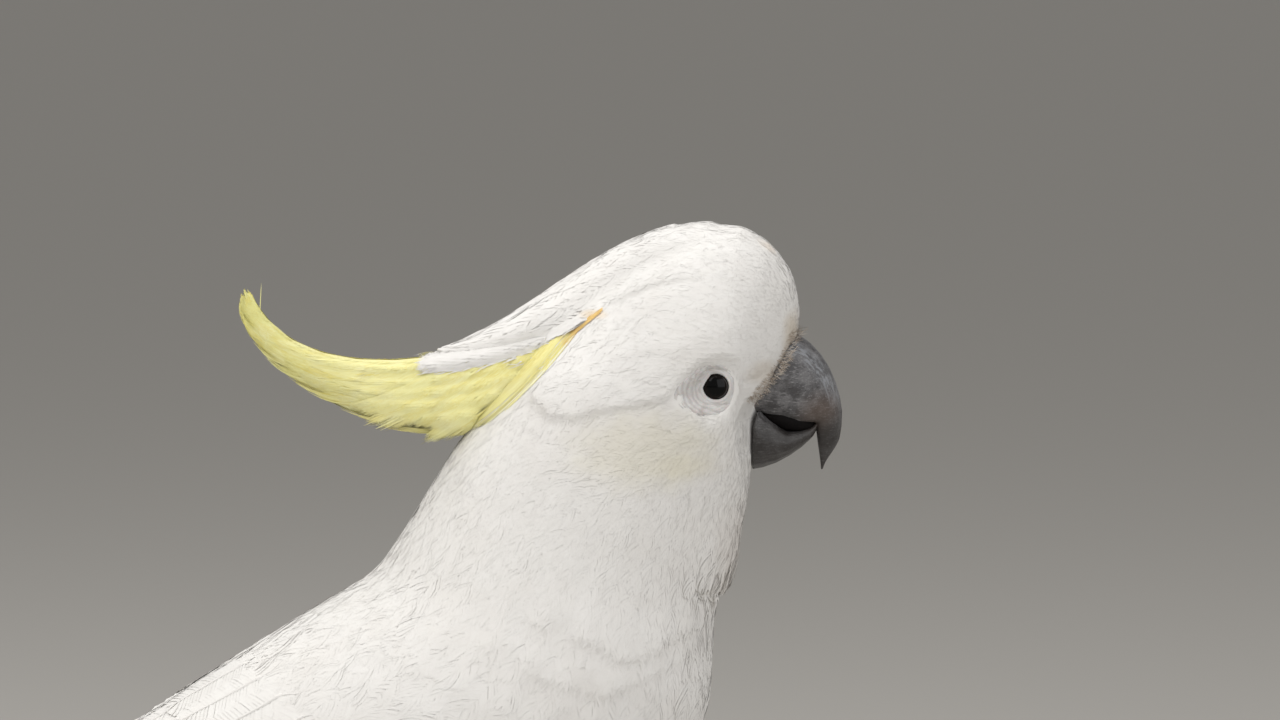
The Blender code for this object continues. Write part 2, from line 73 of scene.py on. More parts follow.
# Lips of the plumage in the side view: height, how soft the edge is, how far it fades, and a line of points
# that runs from front to back with the raised tract above it.
LIPS = {
    "brow": (1.05, 1.6, 20.0, (
        (205.6, 263.9), (199.0, 263.0), (196.6, 265.0), (194.4, 269.2), (189.4, 270.8), (183.6, 269.0),
        (178.6, 264.6), (173.5, 258.0), (165.0, 255.9), (152.6, 253.7), (144.9, 251.2), (137.1, 251.8),
        (132.0, 256.2), (129.0, 263.0),
    )),
    "temple": (0.25, 1.4, 9.0, (
        (184.5, 274.5), (176.0, 272.0), (169.7, 271.6), (160.4, 269.8), (154.2, 270.4), (151.0, 276.5),
    )),
    "cover": (0.6, 1.0, 10.0, (
        (186.0, 295.5), (178.0, 294.4), (166.0, 291.0), (154.2, 285.1), (144.9, 278.0), (134.8, 273.8),
        (123.2, 269.9), (110.0, 268.0),
    )),
    "neck": (0.8, 1.2, 14.0, (
        (186.7, 187.5), (174.3, 181.8), (166.5, 177.1), (157.0, 177.1), (152.6, 181.0), (140.0, 186.0),
    )),
    "breast": (0.5, 1.1, 12.0, (
        (184.0, 178.5), (171.2, 173.0), (154.2, 166.1), (135.6, 171.5), (124.0, 178.0),
    )),
}  # fmt: skip
# Creases: depth, half width and line.
CREASES = (
    (0.35, 0.9, ((183.0, 293.4), (172.0, 292.3), (163.0, 289.0), (154.2, 284.6), (146.0, 279.0))),
    (0.35, 0.9, ((205.5, 264.6), (199.5, 263.2), (196.5, 261.5))),
    (0.22, 1.2, ((170.0, 289.5), (162.0, 281.0), (157.0, 275.5), (153.0, 270.0))),
    (0.18, 1.0, ((196.0, 307.5), (202.5, 303.5), (206.5, 299.5))),
)

# Where feathers meet the bill, from its top down.
BILL_BASE = (
    (214.3, 275.9), (211.5, 269.7), (208.9, 265.5), (204.8, 260.4), (200.1, 254.7), (199.0, 250.0),
    (198.8, 232.0),
)  # fmt: skip
# Heights there, and the half width of the horn at each.
BILL_SIDE = (
    (234.0, 240.0, 250.0, 254.7, 260.4, 265.5, 269.7, 275.9),
    (16.0, 10.4, 10.9, 11.6, 12.0, 12.0, 10.6, 4.0),
)

# The crown's height along the head.
CROWN = (
    (164.0, 176.6, 180.7, 185.6, 190.5, 195.4, 200.2, 204.3, 207.6),
    (340.0, 309.0, 310.0, 310.5, 310.6, 310.1, 308.2, 305.1, 301.2),
)


def smooth_step(value, low, high):
    share = np.clip((value - low) / (high - low), 0.0, 1.0)
    return share * share * (3.0 - 2.0 * share)


def side_of_line(points, line):
    """Each point's distance from a line in the side view, positive above it, and how far it lies along it."""
    place = points[:, [0, 2]]
    best = np.full(len(points), 1e9)
    signed, along = np.zeros(len(points)), np.zeros(len(points))
    line = np.array(line)
    for k, (start, end) in enumerate(zip(line, line[1:])):
        run = end - start
        share = (place - start) @ run / (run @ run)
        offset = place - start - np.clip(share, 0.0, 1.0)[:, None] * run
        distance = np.linalg.norm(offset, axis=1)
        nearer = distance < best
        best[nearer] = distance[nearer]
        cross = run[1] * offset[:, 0] - run[0] * offset[:, 1]
        signed[nearer] = (np.sign(cross) * distance)[nearer]
        along[nearer] = ((k + np.clip(share, -0.3, 1.3)) / (len(line) - 1))[nearer]
    return signed, along


def node_bmesh(names, grow):
    """Solids joined in one mesh, each grown a little, so that they run together when they are remeshed."""
    bm = bmesh.new()
    for name in names:
        bm.from_mesh(nodes[name].data)
    bmesh.ops.remove_doubles(bm, verts=bm.verts, dist=1e-6)
    bm.normal_update()
    for vert in bm.verts:
        vert.co += vert.normal * grow * MM
    return bm


def mesh_from(name, bm):
    mesh = bpy.data.meshes.new(name)
    bm.to_mesh(mesh)
    bm.free()
    return mesh


def remeshed(name, bm, cell, smoothing):
    """A new mesh over a rough one, with even faces and softened edges."""
    holder = bpy.data.objects.new(name, mesh_from(name, bm))
    bpy.context.scene.collection.objects.link(holder)
    remesh = holder.modifiers.new("remesh", "REMESH")
    remesh.mode = "VOXEL"
    remesh.voxel_size = cell * MM
    soften = holder.modifiers.new("soften", "SMOOTH")
    soften.factor = 0.5
    soften.iterations = smoothing
    graph = bpy.context.evaluated_depsgraph_get()
    made = bpy.data.meshes.new_from_object(holder.evaluated_get(graph))
    bpy.data.objects.remove(holder)
    return made


def read_mesh(mesh):
    """A mesh's points in millimetres, and its normals."""
    points, normals = np.empty(len(mesh.vertices) * 3), np.empty(len(mesh.vertices) * 3)
    mesh.vertices.foreach_get("co", points)
    mesh.vertices.foreach_get("normal", normals)
    return points.reshape(-1, 3) / MM, normals.reshape(-1, 3)


def move_points(mesh, points):
    """Puts a mesh's points at new places, given in millimetres."""
    mesh.vertices.foreach_set("co", (points * MM).ravel())
    mesh.update()


def tree_over(*meshes):
    """A tree that finds places on some meshes."""
    joined = bmesh.new()
    for mesh in meshes:
        joined.from_mesh(mesh)
    tree = BVHTree.FromBMesh(joined)
    joined.free()
    return tree


def nearest(tree, points):
    """The nearest places of a tree's surface, and the numbers of its faces there."""
    places, numbers = np.empty_like(points), np.empty(len(points), dtype=int)
    for k, point in enumerate((points * MM).tolist()):
        place, _, number, _ = tree.find_nearest(point)
        places[k], numbers[k] = place, number
    return places / MM, numbers


def face_values(mesh, label):
    """A vector of each face of a mesh: its normal or its center."""
    values = np.empty(len(mesh.polygons) * 3)
    mesh.polygons.foreach_get(label, values)
    return values.reshape(-1, 3)


form = remeshed("form", node_bmesh(TRACTS, 0.6), FORM_CELL, 16)
form_points, form_normals = read_mesh(form)
form_points -= 0.3 * form_normals
on_side = smooth_step(np.abs(form_points[:, 1]), 6.0, 16.0)
for height, soft, fade, line in LIPS.values():
    above, _ = side_of_line(form_points, line)
    ends = 1.0
    for end in (line[0], line[-1]):
        ends = ends * smooth_step(np.linalg.norm(form_points[:, [0, 2]] - end, axis=1), 0.0, 9.0)
    lip = smooth_step(above, -soft, soft) * (1.0 - smooth_step(above, soft, fade))
    form_points += form_normals * (height * lip * ends * on_side)[:, None]
for depth, half_width, line in CREASES:
    above, along = side_of_line(form_points, line)
    ends = smooth_step(along, -0.1, 0.2) * (1.0 - smooth_step(along, 0.8, 1.1))
    crease = np.exp(-((above / half_width) ** 2))
    off_middle = smooth_step(np.abs(form_points[:, 1]), 3.0, 8.0)
    form_points -= form_normals * (depth * crease * ends * off_middle)[:, None]
# The throat hangs over the front of the breast, and the crown is held down to its own line.
hang = smooth_step(form_points[:, 2], 196.5, 198.5) * (1.0 - smooth_step(form_points[:, 2], 202.0, 224.0))
form_points += form_normals * (1.4 * hang * smooth_step(form_points[:, 0], 176.0, 188.0))[:, None]
crown = np.interp(form_points[:, 0], *CROWN) + 0.2
form_points[:, 2] = -0.4 * np.logaddexp(-form_points[:, 2] / 0.4, -crown / 0.4)
# The feathers end at the base of the bill: in front of it the form draws in under the horn, and behind it the
# form rises.
behind, _ = side_of_line(form_points, BILL_BASE)
horn_side = np.interp(form_points[:, 2], *BILL_SIDE)
reach = np.maximum(horn_side - 0.3 + np.where(behind > 0.0, 3.2, 2.6) * behind, 0.5)
trimmed = np.minimum(np.abs(form_points[:, 1]), reach) * np.sign(form_points[:, 1])
near_bill = (form_points[:, 0] > 190.0) & (form_points[:, 2] > 236.0) & (form_points[:, 2] < 272.0)
form_points[:, 1] = np.where(near_bill, trimmed, form_points[:, 1])
move_points(form, form_points)
form_points, form_normals = read_mesh(form)
form_tree = tree_over(form)
face_normals = face_values(form, "normal")

# ---- Lie of the feathers ----------------------------------------------------------------------------------
# Feathers lie back from the face, over the head and down the neck, and back along the body. Each guide is a
# place on the right side and the way that feathers point there; the left side mirrors them.

GUIDES = (
    ((213, 0, 279), (-0.3, 0.0, 1.0)), ((213, 12, 279), (-0.85, 0.45, 0.4)),
    ((214, 0, 292), (-0.4, 0.0, 1.0)), ((208, 20, 288), (-0.9, 0.3, 0.35)),
    ((205, 0, 305), (-1.0, 0.0, 0.8)), ((200, 14, 302), (-1.0, 0.1, 0.45)),
    ((190, 0, 311), (-1.0, 0.0, 0.0)), ((190, 24, 296), (-1.0, 0.0, 0.0)),
    ((170, 0, 305), (-1.0, 0.0, -0.35)), ((170, 26, 290), (-1.0, 0.0, -0.25)),
    ((150, 10, 296), (-0.9, 0.0, -0.5)), ((120, 6, 278), (-0.95, 0.0, -0.4)),
    ((206, 14, 272), (-1.0, 0.45, 0.2)), ((201, 22, 271), (-1.0, 0.3, 0.05)),
    ((188, 31, 276), (-1.0, 0.0, 0.05)), ((168, 33, 266), (-0.95, 0.0, -0.3)),
    ((150, 32, 272), (-0.9, 0.0, -0.45)), ((138, 30, 262), (-0.8, 0.0, -0.6)),
    ((206, 14, 262), (-1.0, 0.5, 0.0)), ((201, 20, 256), (-0.8, 0.4, -0.45)),
    ((193, 29, 250), (-0.75, 0.0, -0.65)), ((180, 33, 247), (-0.95, 0.0, -0.3)),
    ((165, 34, 245), (-0.97, 0.0, -0.25)), ((150, 35, 240), (-0.95, 0.0, -0.33)),
    ((190, 29, 238), (-0.4, 0.0, -0.92)), ((176, 33, 233), (-0.75, 0.0, -0.65)),
    ((160, 35, 226), (-0.8, 0.0, -0.6)), ((199, 6, 236), (0.0, 0.0, -1.0)),
    ((197, 8, 222), (-0.05, 0.0, -1.0)), ((192, 8, 205), (-0.12, 0.0, -1.0)),
    ((184, 26, 215), (-0.35, 0.0, -0.94)), ((168, 34, 208), (-0.5, 0.0, -0.87)),
    ((140, 35, 225), (-0.72, 0.0, -0.7)), ((118, 28, 240), (-0.6, 0.0, -0.8)),
    ((108, 0, 243), (-0.5, 0.0, -0.85)), ((96, 12, 222), (-0.55, 0.0, -0.83)),
    ((86, 0, 204), (-0.7, 0.0, -0.7)), ((130, 38, 205), (-0.55, 0.0, -0.83)),
    ((110, 40, 195), (-0.6, 0.0, -0.8)), ((80, 35, 185), (-0.8, 0.0, -0.6)),
    ((60, 0, 188), (-0.87, 0.0, -0.5)), ((187, 0, 180), (0.0, 0.0, -1.0)),
    ((180, 25, 165), (-0.12, 0.1, -1.0)), ((165, 40, 170), (-0.25, 0.1, -0.95)),
    ((140, 48, 165), (-0.45, 0.1, -0.88)), ((172, 10, 125), (-0.45, 0.0, -0.9)),
    ((150, 35, 112), (-0.6, 0.0, -0.75)), ((110, 50, 150), (-0.8, 0.0, -0.6)),
    ((60, 52, 130), (-0.87, 0.0, -0.48)), ((20, 0, 163), (-0.86, 0.0, -0.5)),
    ((20, 40, 140), (-0.87, 0.0, -0.48)), ((110, 0, 76), (-0.97, 0.0, -0.25)),
    ((60, 20, 68), (-1.0, 0.0, -0.02)), ((80, 45, 85), (-0.95, 0.0, -0.1)),
    ((0, 0, 68), (-1.0, 0.0, 0.0)), ((-30, 0, 125), (-0.85, 0.0, -0.5)),
    ((-60, 25, 92), (-0.86, 0.0, -0.45)), ((-90, 0, 88), (-0.87, 0.0, -0.47)),
    ((-70, 0, 70), (-1.0, 0.0, -0.05)), ((-130, 0, 68), (-0.88, 0.0, -0.45)),
    ((-130, 0, 58), (-0.95, 0.0, -0.25)),
)  # fmt: skip
GUIDE_PLACES = np.array([place for place, _ in GUIDES], dtype=float)
GUIDE_WAYS = np.array([way for _, way in GUIDES], dtype=float)
GUIDE_WAYS /= np.linalg.norm(GUIDE_WAYS, axis=1)[:, None]
GUIDE_REACH = 6.0


def unit(vectors):
    return vectors / np.maximum(np.linalg.norm(vectors, axis=-1, keepdims=True), 1e-9)


def lie(points, normals):
    """The way that feathers point at places of the form, along its surface."""
    sides = np.where(points[:, 1:2] < 0.0, -1.0, 1.0)
    mirrored = points * np.concatenate([np.ones_like(sides), sides, np.ones_like(sides)], axis=1)
    away = ((mirrored[:, None, :] - GUIDE_PLACES[None]) ** 2).sum(axis=2)
    weights = (away + GUIDE_REACH**2) ** -2.0
    ways = (weights[:, :, None] * GUIDE_WAYS[None]).sum(axis=1)
    ways[:, 1:2] *= sides
    ways -= normals * (ways * normals).sum(axis=1, keepdims=True)
    return unit(ways)


# The coat at places of the right side: its thickness between the form and the skin, a feather's length and
# width, and how far its end stands off the next feather.
COAT = (
    ((213, 8, 275), (0.7, 2.8, 1.4, 0.03)), ((212, 0, 292), (1.2, 5.5, 2.6, 0.03)),
    ((190, 0, 308), (1.4, 9.0, 4.5, 0.03)), ((190, 30, 262), (0.6, 2.6, 1.2, 0.03)),
    ((200, 22, 262), (0.8, 2.8, 1.3, 0.03)), ((198, 10, 238), (1.0, 5.5, 2.4, 0.08)),
    ((178, 28, 286), (1.4, 8.5, 4.5, 0.03)), ((165, 33, 252), (1.4, 10.0, 3.6, 0.03)),
    ((180, 32, 240), (1.3, 7.5, 2.8, 0.05)), ((150, 8, 294), (1.2, 18.0, 7.0, 0.03)),
    ((120, 3, 276), (0.8, 24.0, 6.0, 0.03)), ((105, 2, 270), (0.5, 20.0, 4.0, 0.03)),
    ((140, 31, 262), (1.3, 10.0, 5.0, 0.04)), ((190, 10, 212), (1.8, 12.0, 5.0, 0.18)),
    ((188, 10, 198), (2.0, 14.0, 6.0, 0.2)), ((140, 36, 215), (1.8, 12.0, 6.0, 0.04)),
    ((110, 0, 243), (1.6, 12.0, 6.0, 0.04)), ((160, 35, 192), (1.9, 15.0, 8.0, 0.05)),
    ((185, 10, 165), (2.4, 27.0, 17.0, 0.12)), ((110, 48, 150), (2.2, 27.0, 16.0, 0.12)),
    ((95, 20, 200), (2.0, 19.0, 12.0, 0.06)), ((60, 0, 185), (2.2, 27.0, 17.0, 0.12)),
    ((100, 0, 78), (2.6, 27.0, 16.0, 0.2)), ((20, 30, 140), (2.2, 29.0, 18.0, 0.12)),
    ((-40, 0, 100), (2.0, 31.0, 16.0, 0.2)), ((-100, 0, 80), (1.6, 35.0, 14.0, 0.2)),
    ((-138, 0, 62), (0.8, 30.0, 12.0, 0.2)), ((80, 29, 62), (1.8, 15.0, 8.0, 0.4)),
    ((80, 29, 42), (1.0, 12.0, 5.0, 0.8)),
)  # fmt: skip
COAT_PLACES = np.array([place for place, _ in COAT], dtype=float)
COAT_SIZES = np.array([row for _, row in COAT])


def coat_at(points):
    """The coat's thickness, and its feathers' length, width and lift, at places of the form."""
    mirrored = points * 1.0
    mirrored[:, 1] = np.abs(mirrored[:, 1])
    away = ((mirrored[:, None, :] - COAT_PLACES[None]) ** 2).sum(axis=2)
    weights = (away + 36.0) ** -2.0
    weights /= weights.sum(axis=1, keepdims=True)
    return weights @ COAT_SIZES


# The middle line of the body from the bill to the tail, round which the skin is unwrapped.
SPINE = np.array((
    (216.0, 262.0), (195.0, 270.0), (176.0, 264.0), (158.0, 240.0), (143.0, 209.0), (128.0, 173.0),
    (111.0, 150.0), (78.0, 126.0), (36.0, 107.0), (-8.0, 96.0), (-49.0, 89.0), (-140.0, 62.0),
))  # fmt: skip


def unwrapped(points):
    """Places on an unwrap of the skin round its middle line: how far along it, and the angle round it."""
    place = points[:, [0, 2]]
    best = np.full(len(points), 1e9)
    along, height = np.zeros(len(points)), np.zeros(len(points))
    passed = 0.0
    for start, end in zip(SPINE, SPINE[1:]):
        run = end - start
        length = np.linalg.norm(run)
        share = np.clip((place - start) @ run / length**2, 0.0, 1.0)
        offset = place - start - share[:, None] * run
        distance = np.linalg.norm(offset, axis=1)
        nearer = distance < best
        best[nearer] = distance[nearer]
        along[nearer] = (passed + share * length)[nearer]
        up = np.array((run[1], -run[0])) / length
        height[nearer] = -(offset @ up)[nearer]
        passed += length
    turn = np.arctan2(points[:, 1], height) / math.tau + 0.5
    return np.stack([along / passed, turn], axis=1)


# ---- Plumage materials ------------------------------------------------------------------------------------
# White feathers with a breath of grey and cream in them: cream on the ear and cheek, tan bristles at the base
# of the bill, and sulphur yellow to orange along the crease where the crest leaves the head, partly the
# crest's own colour and partly painted shade. The throat is painted darker as its shade, with some staining.
# Skin and feathers share these markings.

WHITE = (0.86, 0.845, 0.82)
CLOUDED = (0.80, 0.765, 0.72)
SHADED = (0.70, 0.665, 0.62)
# Tints, two of them partly painted shade: centre on the right side, half sizes, colour, and how strong it is.
TINTS = (
    ((167.0, 34.0, 242.0), (29.0, 26.0, 15.0), (0.815, 0.78, 0.655), 0.75),
    ((178.0, 33.0, 237.0), (12.0, 12.0, 5.0), (0.82, 0.77, 0.58), 0.3),
    ((203.0, 18.0, 265.0), (9.0, 14.0, 4.5), (0.72, 0.65, 0.56), 0.6),
    ((212.0, 8.0, 276.0), (4.0, 18.0, 9.0), (0.66, 0.57, 0.45), 0.7),
    # Yellow to orange along the crease where the crest leaves the cover: partly the crest's own colour,
    # partly painted shade in the crease.
    ((150.0, 22.0, 283.0), (6.0, 16.0, 1.8), (0.84, 0.62, 0.34), 0.6),
    # Darker on the throat: painted shade under the head, with some staining.
    ((194.0, 0.0, 208.0), (12.0, 30.0, 26.0), (0.72, 0.66, 0.61), 0.5),
    ((205.3, 6.0, 303.0), (9.0, 4.0, 3.0), (0.80, 0.66, 0.52), 0.45),
)


def new_group(name, *outputs):
    """An empty shader node group, with the sockets it puts out."""
    group = bpy.data.node_groups.new(name, "ShaderNodeTree")
    for label, kind in outputs:
        group.interface.new_socket(label, in_out="OUTPUT", socket_type=kind)
    return group, group.nodes.new("NodeGroupOutput")


def fill(tree, socket, value):
    """Sets a socket to a number or a colour, or links another node's output to it."""
    if isinstance(value, tuple):
        socket.default_value = (*value, 1.0)
    elif isinstance(value, (int, float)):
        socket.default_value = value
    else:
        tree.links.new(value, socket)


def math_node(tree, operation, first, second=0.0):
    node = tree.nodes.new("ShaderNodeMath")
    node.operation = operation
    fill(tree, node.inputs[0], first)
    fill(tree, node.inputs[1], second)
    return node.outputs[0]


def plus(tree, first, second):
    return math_node(tree, "ADD", first, second)


def times(tree, first, second):
    return math_node(tree, "MULTIPLY", first, second)


def mix_node(tree, share, first, second, blend="MIX"):
    """A colour between two others, or with "MULTIPLY" the first one tinted by the second."""
    node = tree.nodes.new("ShaderNodeMix")
    node.data_type = "RGBA"
    node.blend_type = blend
    for index, value in ((0, share), (6, first), (7, second)):
        fill(tree, node.inputs[index], value)
    return node.outputs[2]


def place_node(tree):
    """The place on the bird, in metres."""
    return tree.nodes.new("ShaderNodeTexCoord").outputs["Object"]


def axes_of(tree, place):
    """A place's x, y and z."""
    split = tree.nodes.new("ShaderNodeSeparateXYZ")
    tree.links.new(place, split.inputs[0])
    return split.outputs


def place_of(tree, x, y, z=0.0):
    """The place with given x, y and z."""
    join = tree.nodes.new("ShaderNodeCombineXYZ")
    for socket, value in zip(join.inputs, (x, y, z)):
        fill(tree, socket, value)
    return join.outputs[0]


def vector_node(tree, operation, first, second=(0.0, 0.0, 0.0)):
    node = tree.nodes.new("ShaderNodeVectorMath")
    node.operation = operation
    tree.links.new(first, node.inputs[0])
    node.inputs[1].default_value = second
    return node.outputs


def attribute_node(tree, label):
    node = tree.nodes.new("ShaderNodeAttribute")
    node.attribute_name = label
    return node.outputs["Fac"]


def noise_node(tree, vector, scale, detail=3.0):
    node = tree.nodes.new("ShaderNodeTexNoise")
    node.inputs["Scale"].default_value = scale
    node.inputs["Detail"].default_value = detail
    tree.links.new(vector, node.inputs["Vector"])
    return node.outputs["Fac"]


def range_node(tree, value, low, high, to_low=0.0, to_high=1.0):
    node = tree.nodes.new("ShaderNodeMapRange")
    node.interpolation_type = "SMOOTHSTEP"
    tree.links.new(value, node.inputs["Value"])
    for label, number in (("From Min", low), ("From Max", high), ("To Min", to_low), ("To Max", to_high)):
        node.inputs[label].default_value = number
    return node.outputs["Result"]


def markings_group():
    """The colour of white plumage at a place on the bird."""
    group, out = new_group("plumage_markings", ("Color", "NodeSocketColor"))
    place = place_node(group)
    x, y, z = axes_of(group, place)
    mirrored = place_of(group, x, math_node(group, "ABSOLUTE", y), z)
    ragged = noise_node(group, place, 180.0)
    colour = WHITE
    for centre, sizes, tint, strength in TINTS:
        away = vector_node(group, "SUBTRACT", mirrored, [axis * MM for axis in centre])[0]
        scaled = vector_node(group, "DIVIDE", away, [size * MM for size in sizes])[0]
        length = vector_node(group, "LENGTH", scaled)["Value"]
        wavy = plus(group, length, times(group, ragged, 0.5))
        colour = mix_node(group, range_node(group, wavy, 0.55, 1.35, strength, 0.0), colour, tint)
    soft = noise_node(group, place, 45.0)
    colour = mix_node(group, range_node(group, soft, 0.35, 0.75, 0.0, 0.22), colour, CLOUDED)
    group.links.new(colour, out.inputs[0])
    return group


markings = markings_group()


def place_group(tree, group):
    node = tree.nodes.new("ShaderNodeGroup")
    node.node_tree = group
    return node.outputs


def new_material(name, roughness, specular=0.5, **constants):
    """A material with a Principled shader whose constants are set on its own sockets."""
    made = bpy.data.materials.new(name)
    made.use_nodes = True
    shader = made.node_tree.nodes["Principled BSDF"]
    shader.inputs["Roughness"].default_value = roughness
    shader.inputs["Specular IOR Level"].default_value = specular
    for label, value in constants.items():
        shader.inputs[label.replace("_", " ")].default_value = value
    return made, made.node_tree, shader


def bump(tree, shader, height, strength, distance):
    node = tree.nodes.new("ShaderNodeBump")
    node.inputs["Strength"].default_value = strength
    node.inputs["Distance"].default_value = distance * MM
    tree.links.new(height, node.inputs["Height"])
    tree.links.new(node.outputs[0], shader.inputs["Normal"])


def tone(tree, low, high):
    """A number that each feather has for itself, between two values."""
    return range_node(tree, attribute_node(tree, "tone"), 0.0, 1.0, low, high)


def plumage_material(name, roughness):
    """White feathers: the markings, with each feather a little lighter or darker than the next."""
    made, tree, shader = new_material(name, roughness, 0.3, Sheen_Weight=0.15)
    colour = mix_node(tree, tone(tree, 0.0, 0.16), place_group(tree, markings)[0], SHADED)
    tree.links.new(colour, shader.inputs["Base Color"])
    return made


barb_white = plumage_material("barb_white", 0.62)

# ---- Skin -------------------------------------------------------------------------------------------------
# One skin over the head, neck, body and thighs, as deep under the form as the coat is thick there. It is
# pale, dull and finely pored, and shows only round the eyes and the bill.

# How deep the skin lies and the quills root under the form: at least this, and more for longer feathers.
SKIN_DEPTH, ROOT_DEPTH, DEPTH_BY_LENGTH = 0.14, 0.1, 0.012


def add_piece(name, mesh, material, slot, *replaced):
    """A finished piece that rides on the bird's one body."""
    mesh.shade_smooth()
    mesh.materials.clear()
    mesh.materials.append(material)
    piece = bpy.data.objects.new(name, mesh)
    bpy.context.scene.collection.objects.link(piece)
    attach(piece, "root")
    if replaced:
        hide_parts(*replaced)


form_sizes = coat_at(form_points)
skin_depth = np.minimum(form_sizes[:, :1], SKIN_DEPTH + DEPTH_BY_LENGTH * form_sizes[:, 1:2])
skin_mesh = form.copy()
skin_mesh.name = "skin"
move_points(skin_mesh, form_points - form_normals * skin_depth)
skin_white, tree, shader = new_material("skin_white", 0.7, 0.25)
tree.links.new(place_group(tree, markings)[0], shader.inputs["Base Color"])
bump(tree, shader, noise_node(tree, place_node(tree), 1400.0), 0.3, 0.3)
skin_nodes = [name for name in TRACTS if not name.startswith("wing")]
add_piece("skin", skin_mesh, skin_white, "white_plumage", *skin_nodes)

# ---- Contour feathers -------------------------------------------------------------------------------------
# Small feathers cover the head, neck, body and thighs. Each is a row of flat barbs on both sides of a shaft.
# It roots in the skin, rises to the form and lies back over the next ones. They are smallest on the face.

# One run of chance for the whole bird, so that it comes out the same each time.
RNG = np.random.default_rng(20)
# Stations along a shaft and along a barb, and the barb's share of its width at each.
SHAFT_SHARES = np.linspace(0.0, 1.0, 5)
BARB_SHARES = np.array((0.0, 0.4, 0.75, 1.0))
BARB_WIDTHS = np.array((0.8, 1.0, 0.85, 0.2))
# How wide a tuft's patch is on the baking map.
PATCH = 0.003

face_places = face_values(form, "center") / MM
face_ways = lie(face_places, face_normals)


def solid_tree(*names):
    """A tree that finds the nearest place of some solids."""
    bm = node_bmesh(names, 0.0)
    tree = BVHTree.FromBMesh(bm)
    bm.free()
    return tree


def clear_of_solids(points, tree, least):
    """Which points are at least so far from some solids."""
    find = tree.find_nearest
    return np.array([find(point)[3] >= least * MM for point in (points * MM).tolist()])


def even_roots(mask, spacing):
    """Vertices of the form that lie evenly, at a spacing that changes over it."""
    finder = kdtree.KDTree(len(form_points))
    numbers = np.flatnonzero(mask)
    for number in numbers:
        finder.insert(form_points[number], number)
    finder.balance()
    taken = np.zeros(len(form_points), dtype=bool)
    roots = []
    for number in RNG.permutation(numbers):
        if taken[number]:
            continue
        roots.append(number)
        for _, other, _ in finder.find_range(form_points[number], spacing[number]):
            taken[other] = True
    return np.array(roots)


def shafts(points, lengths, sway):
    """The places of feather shafts that lie along the form from their roots, and the normals there."""
    places, faces = nearest(form_tree, points)
    path, ups = [places], [face_normals[faces]]
    for _ in SHAFT_SHARES[1:]:
        ways = face_ways[faces]
        ways = ways + sway[:, None] * np.cross(face_normals[faces], ways)
        step = lengths / (len(SHAFT_SHARES) - 1)
        places, faces = nearest(form_tree, places + step[:, None] * unit(ways))
        path.append(places)
        ups.append(face_normals[faces])
    return np.stack(path, axis=1), np.stack(ups, axis=1)


def along_shaft(values, shares):
    """Values at shares of the way along each shaft, between those at its stations."""
    at = np.clip(shares, 0.0, 1.0) * (len(SHAFT_SHARES) - 1)
    low = np.minimum(at.astype(int), len(SHAFT_SHARES) - 2)
    rest = (at - low)[..., None]
    rows = np.arange(len(values)).reshape((-1,) + (1,) * (shares.ndim - 1))
    return values[rows, low] * (1.0 - rest) + values[rows, low + 1] * rest


def vane_half_width(share):
    """A feather's half width along it: narrow at the root, widest past its middle, round at the end."""
    end = np.sqrt(np.maximum(1.0 - (np.maximum(share - 0.62, 0.0) / 0.4) ** 2, 0.0))
    return end * (1.0 - 0.4 * (np.maximum(0.62 - share, 0.0) / 0.62) ** 1.6)


def barb_paths(count, barbs, ragged):
    """Shares along and across a feather of the stations of its barbs, on both sides of the shaft."""
    starts = np.linspace(0.0, 0.86, barbs)[None, None, :, None]
    starts = starts + RNG.normal(0.0, 0.01, (count, 2, barbs, 1))
    ends = np.minimum(starts + 0.55 * (1.0 - 0.5 * starts), 0.995)
    splits = RNG.uniform(0.25, 1.6, (count, 2, 1, 1))
    ends = ends + ragged * np.where(starts < splits, -0.02, 0.02)
    ends = ends + RNG.normal(0.0, 0.008 + 0.012 * ragged, starts.shape)
    tips = vane_half_width(ends) * (1.0 + RNG.normal(0.0, 0.04, ends.shape))
    t = BARB_SHARES[None, None, None, :]
    along = starts + (ends - starts) * t
    across = tips * (1.0 - (1.0 - t) ** 2.2)
    across[:, 0] *= -1.0
    return along.reshape(count, -1, 4), across.reshape(count, -1, 4)


def ribbons(centres, ups, half_widths, roll):
    """Points and normals of flat ribbons: a row for each ribbon, then a column for each station, and two
    sides."""
    run = unit(np.gradient(centres, axis=1))
    side = unit(np.cross(ups, run))
    side = unit(side + roll[:, None, None] * ups)
    edges = side * half_widths[..., None]
    normals = unit(np.cross(run, side))[:, :, None, :]
    return np.stack([centres - edges, centres + edges], axis=2), np.repeat(normals, 2, axis=2)


